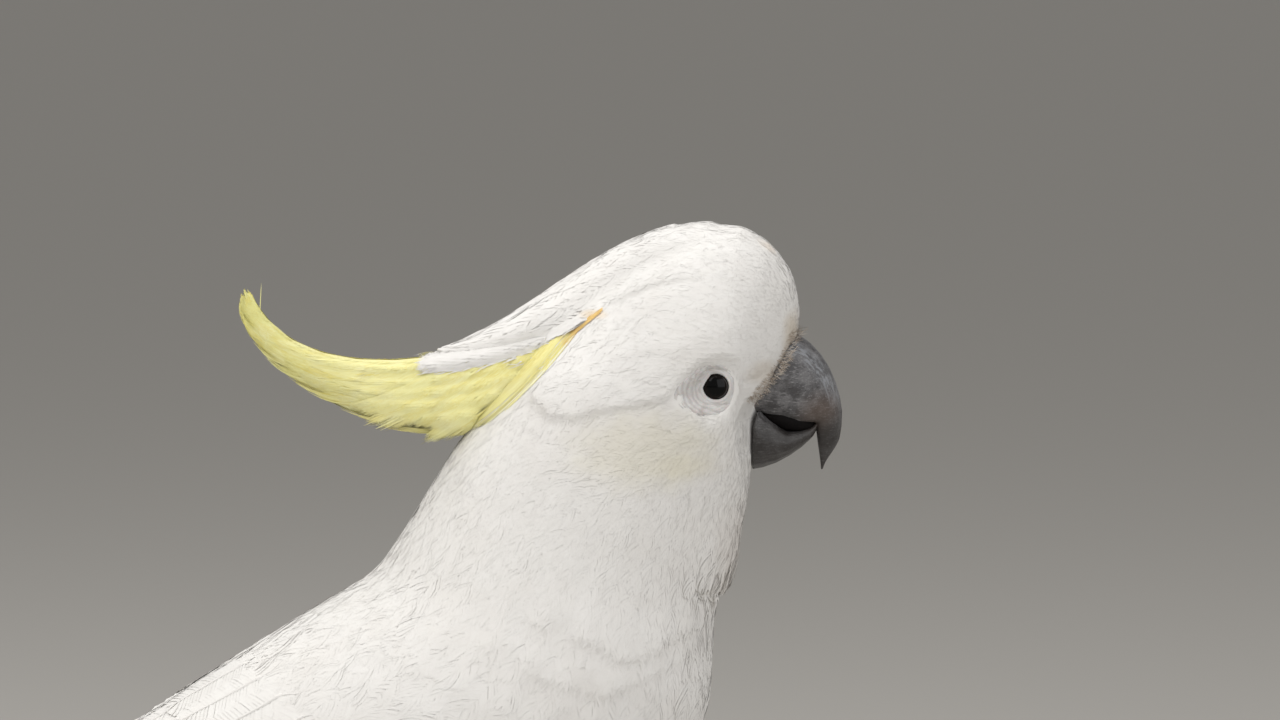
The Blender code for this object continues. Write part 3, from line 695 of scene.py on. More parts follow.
def joined_mesh(name, blocks):
    """One mesh of many small grids. Each block has points and normals (grid, station, column, axis), a tone
    and a place on the baking map for each of its grids."""
    corners, quads, normals, tones, patches, first = [], [], [], [], [], 0
    for points, ups, shades, bake in blocks:
        count, stations, columns = points.shape[:3]
        cells = np.arange(stations - 1)[:, None] * columns + np.arange(columns - 1)[None]
        cells = np.stack([cells, cells + columns, cells + columns + 1, cells + 1], axis=2).reshape(1, -1)
        faces = (np.arange(count) * stations * columns)[:, None] + cells
        across, along = np.meshgrid(np.linspace(0.0, 1.0, columns), np.linspace(0.0, 1.0, stations))
        patch = np.stack([across, along], axis=2)[None] * PATCH + bake[:, None, None, :]
        corners.append(points.reshape(-1, 3))
        normals.append(ups.reshape(-1, 3))
        tones.append(np.repeat(shades, stations * columns))
        patches.append(patch.reshape(-1, 2))
        quads.append(faces.ravel() + first)
        first += count * stations * columns
    corners, quads = np.concatenate(corners), np.concatenate(quads)
    mesh = bpy.data.meshes.new(name)
    mesh.vertices.add(len(corners))
    mesh.vertices.foreach_set("co", (corners * MM).ravel())
    mesh.loops.add(len(quads))
    mesh.loops.foreach_set("vertex_index", quads)
    mesh.polygons.add(len(quads) // 4)
    mesh.polygons.foreach_set("loop_start", np.arange(0, len(quads), 4))
    mesh.update(calc_edges=True)
    smooth = mesh.attributes.new("custom_normal", "FLOAT_VECTOR", "POINT")
    smooth.data.foreach_set("vector", np.concatenate(normals).ravel())
    mesh.attributes.new("tone", "FLOAT", "POINT").data.foreach_set("value", np.concatenate(tones))
    mesh.uv_layers.new(name="OFBake").data.foreach_set("uv", np.concatenate(patches)[quads].ravel())
    return mesh


def add_feathers(name, blocks, material, slot, *replaced):
    add_piece(name, joined_mesh(name, blocks), material, slot, *replaced)


def bake_places(roots):
    """Each tuft's corner on the unwrap of the skin, spread over the piece's own range."""
    places = unwrapped(roots)
    low, high = places.min(axis=0), places.max(axis=0)
    return 0.01 + (places - low) / np.maximum(high - low, 1e-6) * (0.98 - PATCH)


VANE_ROWS = np.array((0.0, 0.2, 0.4, 0.6, 0.8, 0.93, 0.99))
VANE_COLUMNS = np.array((-1.0, -0.5, 0.0, 0.5, 1.0))


def on_feather(path, ups, along, across, half_widths):
    """Places of the form under points of feathers given by shares along and across them, and the normals."""
    places, normals = along_shaft(path, along), unit(along_shaft(ups, along))
    run = unit(along_shaft(np.gradient(path, axis=1), along))
    places = places + np.cross(normals, run) * (across * half_widths[:, None, None])[..., None]
    flat, faces = nearest(form_tree, places.reshape(-1, 3))
    return flat.reshape(places.shape), face_normals[faces].reshape(places.shape)


def lit_from_above(points, normals):
    """Normals of the long cover behind the crown, turned up a little: light passes through its edge."""
    turned = normals + 0.0
    x, z = points[..., 0], points[..., 2]
    turned[..., 2] += 0.5 * smooth_step(165.0 - x, 0.0, 25.0) * smooth_step(z, 260.0, 270.0)
    return unit(turned)


def coat_piece(name, mask, spacing, barbs, barb_width, ragged, sleek, material):
    """Feathers rooted over part of the form, as one joined mesh."""
    roots = even_roots(mask, form_sizes[:, 1] * spacing)
    count = len(roots)
    depth, length, width, lift = (form_sizes[roots] * RNG.normal(1.0, 0.07, (count, 1))).T[:, :, None, None]
    path, ups = shafts(form_points[roots], length.ravel(), RNG.normal(0.0, 0.07, count))
    own = RNG.uniform(0.0, 0.5, (count, 1, 1)) * lift
    sunk = np.minimum(depth, ROOT_DEPTH + DEPTH_BY_LENGTH * length)
    bake, tones = bake_places(form_points[roots]), RNG.uniform(0.0, 1.0, count)

    def heights(along, across):
        return (smooth_step(along, 0.0, 0.45) - 1.0) * sunk + (along**2 - 0.5 * across**2) * lift + own

    along, across = barb_paths(count, barbs, ragged)
    places, normals = on_feather(path, ups, along, across, width.ravel() / 2)
    places += normals * heights(along, across)[..., None]
    each = places.shape[1]
    half_widths = np.repeat(width.ravel() * barb_width / 2, each)[:, None] * BARB_WIDTHS
    normals = normals.reshape(-1, 4, 3)
    roll = RNG.normal(0.0, 0.1, count * each)
    points, own_normals = ribbons(places.reshape(-1, 4, 3), normals, half_widths, roll)
    normals = lit_from_above(points, unit(normals[:, :, None, :] * sleek + own_normals * (1.0 - sleek)))
    shades = np.clip(np.repeat(tones, each) * 0.6 + RNG.uniform(0.0, 0.4, count * each), 0.0, 1.0)
    blocks = [(points, normals, shades, np.repeat(bake, each, axis=0))]

    along = np.broadcast_to(VANE_ROWS[None, :, None], (count, len(VANE_ROWS), len(VANE_COLUMNS)))
    across = vane_half_width(along) * VANE_COLUMNS
    points, normals = on_feather(path, ups, along, across, width.ravel() / 2 * 1.3)
    points = points + normals * (heights(along, across) - 0.1 - 0.5 * lift)[..., None]
    blocks.append((points, lit_from_above(points, normals), tones * 0.8, bake))
    add_feathers(name, blocks, material, "white_plumage")


# Rows of the coat: how close the feathers root as a share of their length, how many barbs each has on a side
# and how wide those are as a share of the feather, how ragged its end is, and how much the barbs shade as one
# vane.
COAT_ROWS = {
    "head": (0.29, 8, 0.16, 0.5, 0.94),
    "neck": (0.25, 11, 0.12, 0.6, 0.94),
    "body": (0.31, 20, 0.075, 0.7, 0.92),
}


def below_line(line):
    return -side_of_line(form_points, line)[0]


face_nodes = ["bill_upper", "bill_lower", "tongue"]
face_nodes += [f"{part}_{side_name}" for part in ("eye", "eyelid") for side_name in SIDES]
bill_tree = solid_tree(*face_nodes)
shank_tree = solid_tree("shank_right", "shank_left", "foot_right", "foot_left")
# The coat stops short of the bill, the eyes and the shanks.
BILL_GAP, SHANK_GAP, RING_GAP = 0.9, 1.0, 1.2
outside = form_points + form_normals
free = clear_of_solids(outside, bill_tree, BILL_GAP) & clear_of_solids(outside, shank_tree, SHANK_GAP)
ring_x, ring_z = form_points[:, 0] - EYE[0], form_points[:, 2] - EYE[2]
ring_angle = np.arctan2(ring_z, ring_x)
free &= np.hypot(ring_x, ring_z) > ring_edge(ring_angle) + RING_GAP * np.maximum(np.cos(ring_angle), 0.0)
free &= (form_points[:, 2] < 236.0) | (side_of_line(form_points, BILL_BASE)[0] > -0.4)
HEAD_ENDS = ((207.0, 226.0), (165.0, 222.0), (125.0, 250.0), (110.0, 262.0))
NECK_ENDS = ((195.0, 184.0), (150.0, 178.0), (110.0, 190.0), (78.0, 210.0))
past_head, past_neck = below_line(HEAD_ENDS) > 0.0, below_line(NECK_ENDS) > 0.0
# The last feathers of the throat stand off the breast in a ragged fringe.
FRINGE_HEIGHT, FRINGE_REACH, FRINGE_LENGTH, FRINGE_LIFT = 209.0, 4.5, 3.0, 1.9
fringe = np.exp(-(((form_points[:, 2] - FRINGE_HEIGHT) / FRINGE_REACH) ** 2))
fringe *= smooth_step(form_points[:, 0], 182.0, 190.0)
form_sizes[:, 1] += FRINGE_LENGTH * fringe
form_sizes[:, 3] += FRINGE_LIFT * fringe
on_right = form_points[:, 1] < 0.0
tracts = {"head": free & ~past_head, "neck": free & past_head & ~past_neck, "body": free & past_neck}
for side_name, here in (("right", on_right), ("left", ~on_right)):
    for tract, mask in tracts.items():
        coat_piece(f"{tract}_feathers_{side_name}", mask & here, *COAT_ROWS[tract], barb_white)

# ---- Crest ------------------------------------------------------------------------------------------------
# Six long curved feathers lie folded back one over the other and curl up at the end. Their barbs leave the
# upper edge and sweep down and back. Softer ones spill from under the white cover over the back of the head.

# The upper and the under edge of the folded crest, as curves in the side view.
CREST_TOP = ((152.6, 280.6), (123.8, 273.1), (58.7, 250.5), (43.5, 290.5))
CREST_UNDER = ((144.8, 275.4), (136.6, 222.6), (49.0, 250.5), (41.3, 283.0))
# From the topmost plume down: where its barbs begin and end along the crest, and how many its two vanes have.
PLUMES = (
    (0.0, 1.0, 620), (0.05, 0.99, 420), (0.1, 0.9, 380), (0.12, 0.77, 340), (0.15, 0.66, 300),
    (0.15, 0.53, 260),
)  # fmt: skip
YELLOW, COOL_TIP, WARM_ROOT = (0.90, 0.875, 0.42), (0.72, 0.70, 0.27), (0.90, 0.85, 0.36)
AMBER, PALE_STREAK, PALE_BARB = (0.80, 0.55, 0.20), (0.88, 0.86, 0.55), (0.88, 0.87, 0.76)
PLUME_NODES = [f"crest_plume_{number}" for number in range(1, 7)]


def bezier(points, share):
    """Points of a cubic curve in the side view."""
    share = share[..., None]
    weights = ((1 - share) ** 3, 3 * (1 - share) ** 2 * share, 3 * (1 - share) * share**2, share**3)
    return sum(weight * np.array(point) for weight, point in zip(weights, points))


def yellow_group():
    """Sulphur yellow: deeper and warmer under the cover, where the amber edge is partly painted shade, cooler
    towards the tip, with paler streaks.
    """
    group, out = new_group("crest_yellow", ("Color", "NodeSocketColor"))
    place = place_node(group)
    x, _, z = axes_of(group, place)
    waver = times(group, noise_node(group, place, 260.0), 0.012)
    root = plus(group, plus(group, x, times(group, z, 0.35)), waver)
    streak = noise_node(group, place, 120.0)
    colour = mix_node(group, range_node(group, x, 0.04, 0.085), COOL_TIP, YELLOW)
    colour = mix_node(group, range_node(group, root, 0.2, 0.236), colour, WARM_ROOT)
    # Amber at the cover's edge: partly the crest's own deeper colour, partly painted shade under the cover.
    colour = mix_node(group, range_node(group, root, 0.2405, 0.25), colour, AMBER)
    colour = mix_node(group, range_node(group, streak, 0.45, 0.75, 0.0, 0.35), colour, PALE_STREAK)
    group.links.new(colour, out.inputs[0])
    return group


crest_yellow = yellow_group()
barb_yellow, tree, shader = new_material("barb_yellow", 0.55, 0.3, Sheen_Weight=0.1)
deep = mix_node(tree, tone(tree, 0.0, 1.0), (1.04, 1.05, 1.15), (0.93, 0.84, 0.52))
barb = mix_node(tree, 1.0, place_group(tree, crest_yellow)[0], deep, "MULTIPLY")
pale = range_node(tree, attribute_node(tree, "tone"), 0.0, 0.14, 1.0, 0.0)
tree.links.new(mix_node(tree, pale, barb, PALE_BARB), shader.inputs["Base Color"])

# The shafts under the barbs. They keep their full height along the upper edge, where they show.
CORE_INSET, CORE_INSET_BELOW, CORE_TONE = 0.85, 0.7, 0.4
crest_core = remeshed("crest_core", node_bmesh(PLUME_NODES, 0.45), 0.8, 5)
core_points, core_normals = read_mesh(crest_core)
facing_up, facing_down = (smooth_step(way * core_normals[:, 2], 0.3, 0.75) for way in (1.0, -1.0))
inset = CORE_INSET - CORE_INSET * facing_up + CORE_INSET_BELOW * facing_down
core_points -= core_normals * inset[:, None]
move_points(crest_core, core_points)
core_tones = crest_core.attributes.new("tone", "FLOAT", "POINT")
core_tones.data.foreach_set("value", np.full(len(core_points), CORE_TONE))
add_piece("crest_core", crest_core, barb_yellow, "yellow_plumage", *PLUME_NODES)
# The barbs lie on a smoother form of the six feathers together.
crest_form = remeshed("crest_form", node_bmesh(PLUME_NODES, 1.0), 1.0, 22)
core_tree = tree_over(crest_form)
# Rays that look for a surface from the side start this far out, in metres.
CAST_FROM = 0.09


def from_side(tree, line, side, edge=0.5):
    """Where lines in the side view meet a surface seen from one side, and its normals. Past its edge they
    run on."""
    places = np.empty(line.shape[:2] + (3,))
    normals = np.empty_like(places)
    line = line * 1.0

    def cast(x, z):
        return tree.ray_cast((x * MM, side * CAST_FROM, z * MM), (0.0, -side, 0.0))

    for row, stations in enumerate(line.tolist()):
        if cast(*stations[0])[0] is None:
            # A line that begins outside the surface is begun where it first meets it.
            for share in (0.04, 0.08, 0.12, 0.17, 0.25, 0.35, 0.5):
                moved = np.array(stations[0]) + share * (np.array(stations[2]) - np.array(stations[0]))
                if cast(*moved)[0] is not None:
                    line[row] += (moved - stations[0]) * np.linspace(1.0, 0.0, line.shape[1])[:, None]
                    break
    for row, stations in enumerate(line.tolist()):
        last, last_up = side * edge, (0.0, side, 0.0)
        for column, (x, z) in enumerate(stations):
            hit, up, _, _ = cast(x, z)
            if hit is not None:
                last, last_up = hit.y / MM, up
            places[row, column] = (x, last, z)
            normals[row, column] = last_up
    return places, normals


# Light passes through thin barbs, so they are shaded as if they faced up a little, and never far down.
LIGHT_THROUGH, LOWEST_NORMAL = np.array((0.0, 0.0, 0.45)), -0.2


def combed(tree, line, side, width, sleek, height, shades=0.4):
    """Long fine barbs laid on a surface along lines in the side view."""
    places, normals = from_side(tree, line, side)
    places += normals * height
    count, stations = line.shape[:2]
    taper = np.interp(np.linspace(0.0, 1.0, stations), (0.0, 0.3, 0.75, 1.0), (0.7, 1.0, 0.8, 0.12))
    half_widths = width / 2 * taper[None] * np.ones((count, 1))
    points, own = ribbons(places, normals, half_widths, RNG.normal(0.0, 0.07, count))
    facing = np.where((own * normals[:, :, None]).sum(axis=3, keepdims=True) < 0.0, -1.0, 1.0)
    normals[..., 2] = np.maximum(normals[..., 2], LOWEST_NORMAL)
    ups = unit(normals[:, :, None] * sleek + own * facing * (1.0 - sleek) + LIGHT_THROUGH)
    shades = np.clip(shades + RNG.uniform(-0.14, 0.14, count), 0.0, 1.0)
    return points, ups, shades, bake_places(places[:, 0])


def plume_lines(number, first, last, next_last, count):
    """Lines that sweep from a plume's upper edge down and back, and end with the plume."""
    start = np.sort(RNG.uniform(first, last - 0.015, count)) + RNG.normal(0.0, 0.003, count)
    band = 1.0 / len(PLUMES)
    top = band * number * (1.0 - smooth_step(start, 0.75 * last, last))
    top = top + 0.02 * RNG.uniform(0.0, 1.0, count)
    tufts = np.cumsum(RNG.uniform(0.012, 0.05, 60))
    clump = np.interp(start, tufts, RNG.normal(0.0, 1.0, 60))
    reach = 0.24 * (1.0 - 0.35 * start) + 0.01 * clump
    end = np.minimum(start + reach, last + RNG.uniform(-0.02, 0.025, count))
    drop = np.minimum(2.3 * band + 0.025 * clump, 1.03 - top + 0.03 * clump) * RNG.uniform(0.7, 1.05, count)
    # Where the next plume down has ended, the barbs reach the under edge.
    not_at_end = 1.0 if number == 0 else smooth_step(last - start, 0.05, 0.2)
    free = smooth_step(start, next_last - 0.3, next_last - 0.12) * not_at_end
    drop = drop + np.maximum((1.02 - top) * RNG.uniform(0.6, 1.12, count) - drop, 0.0) * free
    share = np.linspace(0.0, 1.0, 7)[None]
    along = start[:, None] + (end - start)[:, None] * share
    across = top[:, None] + drop[:, None] * (1.0 - (1.0 - share) ** 1.7)
    high, low = bezier(CREST_TOP, along), bezier(CREST_UNDER, along)
    return high + (low - high) * across[..., None], np.clip(0.42 + 0.14 * clump, 0.28, 1.0)


PLUME_ENDS = [last for _, last, _ in PLUMES[1:]] + [0.3]
for side_name, side in SIDES.items():
    blocks = []
    for number, (first, last, count) in enumerate(PLUMES):
        lines, shades = plume_lines(number, first, last, PLUME_ENDS[number], count * 2)
        blocks.append(combed(core_tree, lines, side, 0.66, 0.9, 0.2 - 0.05 * number, shades))
    add_feathers(f"crest_barbs_{side_name}", blocks, barb_yellow, "yellow_plumage")

# One barb has sprung loose at the tip.
stray = combed(core_tree, np.linspace((47.0, 280.5), (47.6, 291.5), 7)[None], -1.0, 0.3, 0.8, 0.2)
add_feathers("crest_loose_barb", [stray], barb_yellow, "yellow_plumage")

# The softer feathers fan from the opening under the cover down and back over the head and on to the plumes.
spill_tree = tree_over(form, crest_form)
# Shares along the cover's edge, and where the strands that start there begin, bend and end.
SPILL_SHARES = (0.0, 0.15, 0.35, 0.6, 0.8, 1.0)
SPILL_FROM = ((146.0, 278.8), (142.0, 276.8), (136.0, 274.6), (126.5, 271.4), (117.5, 269.4), (108.0, 268.6))
SPILL_BEND = ((128.5, 257.0), (125.0, 256.0), (119.0, 255.5), (110.0, 256.5), (101.0, 257.0), (91.0, 256.5))
SPILL_TO = ((116.5, 247.5), (109.0, 244.6), (99.5, 243.8), (90.0, 246.2), (80.0, 249.0), (70.0, 254.0))
# How far along themselves the strands reach: they gather in two points.
SPILL_PLACES = (0.0, 0.2, 0.33, 0.42, 0.52, 0.62, 0.72, 0.85, 1.0)
SPILL_LIMITS = (0.88, 0.92, 1.02, 0.92, 0.8, 0.88, 1.02, 0.88, 0.85)
SPILL_STRANDS, SPILL_TUFTS, CREASE_STRANDS, FRINGE_BARBS = 5200, 38, 160, 3900
# The cover's edge over the yellow: x and height.
COVER_EDGE = ((103.0, 110.0, 123.2, 134.8, 144.9, 149.0), (267.5, 268.2, 270.1, 273.8, 278.0, 281.0))


def spill_curve(share, places):
    """Where strands that start at shares of the cover's edge have one end or bend of theirs."""
    columns = [np.interp(share, SPILL_SHARES, column) for column in np.array(places).T]
    return np.stack(columns, axis=1)[:, None]


def spill_strands(side):
    """Strands that gather in tufts as they fall from the cover's edge."""
    share = RNG.uniform(-0.02, 1.0, SPILL_STRANDS)
    start, bend, end = (spill_curve(share, places) for places in (SPILL_FROM, SPILL_BEND, SPILL_TO))
    tufts = np.linspace(0.0, 1.0, SPILL_TUFTS) ** 1.1
    tuft = np.interp(share, tufts, RNG.normal(0.0, 1.0, SPILL_TUFTS))
    first = RNG.uniform(-0.06, 0.45, SPILL_STRANDS) * (share > 0.03)
    limit = np.interp(share, SPILL_PLACES, SPILL_LIMITS) + 0.03 * tuft
    limit += RNG.uniform(-0.07, 0.04, SPILL_STRANDS)
    last = np.minimum(first + RNG.uniform(0.45, 0.75, SPILL_STRANDS), limit)
    t = first[:, None] + (last - first)[:, None] * np.linspace(0.0, 1.0, 8)[None]
    t = t[..., None]
    lines = (1 - t) ** 2 * start + 2 * t * (1 - t) * bend + t**2 * end
    lines += RNG.normal(0.0, 0.25, (SPILL_STRANDS, 1, 2))
    # The ones nearest the temple are pale.
    at_temple = share + 0.05 * RNG.normal(0.0, 1.0, SPILL_STRANDS) < 0.07
    shades = np.where(at_temple, RNG.uniform(-0.1, 0.3, SPILL_STRANDS), np.maximum(0.4 + 0.12 * tuft, 0.3))
    height = np.linspace(0.6, 1.0, 8)[None, :, None] + 0.4 * first[:, None, None]
    height = 0.12 + height * smooth_step(share, 0.0, 0.2)[:, None, None]
    return combed(spill_tree, lines, side, 0.5, 0.88, height, shades)


def crease_strands(side):
    """A few fine ones that show in the crease above, as far as the temple."""
    share = RNG.uniform(0.0, 1.0, (CREASE_STRANDS, 1))
    start = np.array((147.0, 279.2)) + share * (6.5, 5.4) + RNG.normal(0.0, 0.25, (CREASE_STRANDS, 2))
    step = np.array((-1.0, -0.86)) * RNG.uniform(0.9, 1.6, (CREASE_STRANDS, 1))
    lines = start[:, None] + step[:, None] * np.linspace(0.0, 6.0, 8)[None, :, None]
    return combed(spill_tree, lines, side, 0.3, 0.85, 0.3)


def fringe_barbs(side):
    """White barbs of the cover that run out ragged over the first of the yellow."""
    along = RNG.uniform(103.0, 149.0, FRINGE_BARBS)
    over = smooth_step(148.0 - along, 2.0, 14.0) * (0.3 + 0.7 * smooth_step(along, 104.0, 114.0))
    below = RNG.uniform(-1.0, 0.6, FRINGE_BARBS) - RNG.exponential(0.7, FRINGE_BARBS)
    above = RNG.uniform(0.3, 4.8, FRINGE_BARBS) * (0.35 + 0.65 * over)
    start = np.stack([along, np.interp(along, *COVER_EDGE) + below * over + above], axis=1)
    slant = 199.0 + 4.0 * RNG.normal(0.0, 1.0, FRINGE_BARBS) + 8.0 * smooth_step(along, 130.0, 148.0)
    slant = np.radians(slant)
    length = RNG.uniform(2.5, 9.0, FRINGE_BARBS)
    station = np.linspace(0.0, 1.0, 6)[None]
    way = np.stack([np.cos(slant), np.sin(slant)], axis=1)
    step = way[:, None] * (station * length[:, None])[..., None]
    height = 0.25 + 0.95 * smooth_step(station, 0.0, 0.6)[..., None]
    return combed(spill_tree, start[:, None] + step, side, 0.42, 0.9, height)


for side_name, side in SIDES.items():
    spill = [spill_strands(side), crease_strands(side)]
    add_feathers(f"crest_spill_{side_name}", spill, barb_yellow, "yellow_plumage")
    add_feathers(f"cover_fringe_{side_name}", [fringe_barbs(side)], barb_white, "white_plumage")

# ---- Eyes -------------------------------------------------------------------------------------------------
# A wet dark ball whose iris is nearly as dark as its pupil, in a ring of bare, finely wrinkled skin. The ring
# is drawn out to a point behind the eye, and its smooth inner rim is the edge of the lids.

eye_black, tree, shader = new_material("eye_black", 0.06, 0.14)
x, _, z = axes_of(tree, place_node(tree))
aside, above = math_node(tree, "SUBTRACT", x, EYE[0] * MM), math_node(tree, "SUBTRACT", z, EYE[2] * MM)
away = vector_node(tree, "LENGTH", place_of(tree, aside, above))["Value"]
# A paler arc shows in front, where the iris meets the white of the eye.
limbus = math_node(tree, "ABSOLUTE", math_node(tree, "SUBTRACT", away, 3.5 * MM))
front = math_node(tree, "SUBTRACT", aside, times(tree, above, 0.25))
on_limbus = range_node(tree, limbus, 0.05 * MM, 0.2 * MM, 1.0, 0.0)
arc = times(tree, on_limbus, range_node(tree, front, 0.8 * MM, 2.4 * MM))
on_iris = range_node(tree, away, 2.5 * MM, 3.0 * MM)
iris = mix_node(tree, on_iris, (0.002, 0.002, 0.002), (0.007, 0.005, 0.004))
tree.links.new(mix_node(tree, arc, iris, (0.075, 0.07, 0.068)), shader.inputs["Base Color"])

bare_skin, tree, shader = new_material(
    "bare_skin", 0.55, 0.35, Subsurface_Weight=0.08, Subsurface_Scale=0.001
)
place = place_node(tree)
blush = range_node(tree, noise_node(tree, place, 420.0), 0.4, 0.7)
skin_tone = mix_node(tree, blush, (0.72, 0.71, 0.695), (0.70, 0.66, 0.645))
# Painted shade: darker in the grooves of the folds and at the edge under the feathers.
skin_tone = mix_node(tree, attribute_node(tree, "painted_ring_shade"), skin_tone, (0.46, 0.42, 0.40))
tree.links.new(skin_tone, shader.inputs["Base Color"])
pebbles = plus(tree, noise_node(tree, place, 900.0), noise_node(tree, place, 2400.0))
bump(tree, shader, pebbles, 0.7, 0.25)


def smooth_noise(angle, reach, seed):
    """A number that wanders slowly round and across the ring."""
    waves = np.random.default_rng(seed)
    total = 0.0
    for step in range(1, 7):
        turn, grow = waves.uniform(0.0, math.tau, 2)
        swing = 2.0 * np.sin(reach * 3.0 * step + grow)
        total = total + np.sin(step * 2 * angle + turn + swing) / step**0.7
    return total / 2.5


# The ring starts inside the lids and runs on under the feathers. Folds of skin lie round it, at even gaps
# that wander, and finer ones cross them. Their grooves are painted darker as shade, and so is the outer edge,
# as the shadow of the feathers over it.
LID_TUCK, RING_TUCK, FOLD_GAP, FOLD_DEPTH, CROSS_DEPTH = 0.25, 0.9, 1.5, 0.12, 0.13
FOLD_SEED, CROSS_SEED = 5, 9
for side_name, side in SIDES.items():
    bm = bmesh.new()
    bmesh.ops.create_icosphere(bm, subdivisions=5, radius=EYE_RADIUS * MM)
    bmesh.ops.translate(bm, verts=bm.verts, vec=Vector(EYE * (1.0, side, 1.0)) * MM)
    ball = mesh_from(f"eyeball_{side_name}", bm)
    add_piece(f"eyeball_{side_name}", ball, eye_black, "eye", f"eye_{side_name}")

    bm = bmesh.new()
    bmesh.ops.create_grid(bm, x_segments=160, y_segments=34, size=0.5)
    grid = np.array([vert.co[:2] for vert in bm.verts]) + 0.5
    angle, share = (grid[:, 0] * 2.0 - 1.0) * math.pi, grid[:, 1]
    inner = np.minimum(LID_EDGE, LID_CHORD / np.maximum(np.cos(angle - LID_CHORD_WAY), 0.05))
    inner = np.minimum(inner, LID_EDGE) - LID_TUCK
    outer = ring_edge(angle) + RING_TUCK
    reach = inner + (outer - inner) * share**1.15
    x, z = EYE[0] + reach * np.cos(angle), EYE[2] + reach * np.sin(angle)
    edge_x, edge_z = EYE[0] + outer * np.cos(angle), EYE[2] + outer * np.sin(angle)
    edge_places, _ = from_side(form_tree, np.stack([edge_x, edge_z], axis=1)[:, None], side)
    edge_y = np.abs(edge_places[:, 0, 1]) - 0.5
    rim = EYE[1] + math.sqrt(EYE_RADIUS**2 - LID_EDGE**2)
    out_from = reach - inner
    lip = 0.62 * smooth_step(out_from, 0.0, 0.45) - 0.42 * smooth_step(out_from, 0.9, 1.5)
    blend = smooth_step(share, 0.12, 0.95)
    y = (rim - 0.15 + lip) * (1.0 - blend) + edge_y * blend
    behind = 0.35 + 0.65 * smooth_step(-np.cos(angle), -0.2, 0.9)
    wander = smooth_noise(angle, share, FOLD_SEED)
    fold_at = (reach - inner) / FOLD_GAP + 0.55 * wander
    folds = np.cos(math.tau * fold_at)
    inside = smooth_step(out_from, 1.0, 1.8) * (1.0 - smooth_step(share, 0.86, 1.0))
    cross = smooth_noise(angle * 3.0, share * 2.0, CROSS_SEED) * behind
    y = y + inside * (FOLD_DEPTH * folds + CROSS_DEPTH * cross) + 0.3 * np.sin(math.pi * share)
    # Painted shade in the grooves between folds, and a painted shadow of the feathers along the outer edge.
    painted_ring_shade = inside * np.clip(0.5 - folds * 0.75, 0.0, 1.0) ** 2 * 0.45
    painted_ring_shade = painted_ring_shade + 0.6 * smooth_step(share, 0.88, 1.0)
    layer = bm.verts.layers.float.new("painted_ring_shade")
    for vert, place, depth in zip(bm.verts, np.stack([x, side * y, z], axis=1) * MM, painted_ring_shade):
        vert.co = place
        vert[layer] = depth
    bmesh.ops.remove_doubles(bm, verts=bm.verts, dist=1e-7)
    bmesh.ops.recalc_face_normals(bm, faces=bm.faces)
    if sum(face.normal.y for face in bm.faces) * side < 0.0:
        bmesh.ops.reverse_faces(bm, faces=bm.faces)
    lids = mesh_from(f"eye_ring_{side_name}", bm)
    add_piece(f"eye_ring_{side_name}", lids, bare_skin, "bare_skin", f"eyelid_{side_name}")

# ---- Bill -------------------------------------------------------------------------------------------------
# Thick dark horn, dusted with pale powder and scratched with use. The upper half ends in a sharp hook, the
# lower one in a scoop that closes behind it, and skin painted near black as the shade inside lines the mouth
# between them.

# The middle of the ridge's curve, x and z, and the notch in the cutting edge, all in metres.
RIDGE_MIDDLE, NOTCH = (0.203, 0.252), (0.2195, -0.005, 0.2525)


def scratches(group, place, turn, scale, stretch):
    """Noise drawn out along one way in the side view."""
    drawn = group.nodes.new("ShaderNodeMapping")
    drawn.inputs["Rotation"].default_value = (0.0, math.radians(turn), 0.0)
    drawn.inputs["Scale"].default_value = (stretch, 1.0, 1.0)
    group.links.new(place, drawn.inputs["Vector"])
    return noise_node(group, drawn.outputs[0], scale, 2.0)


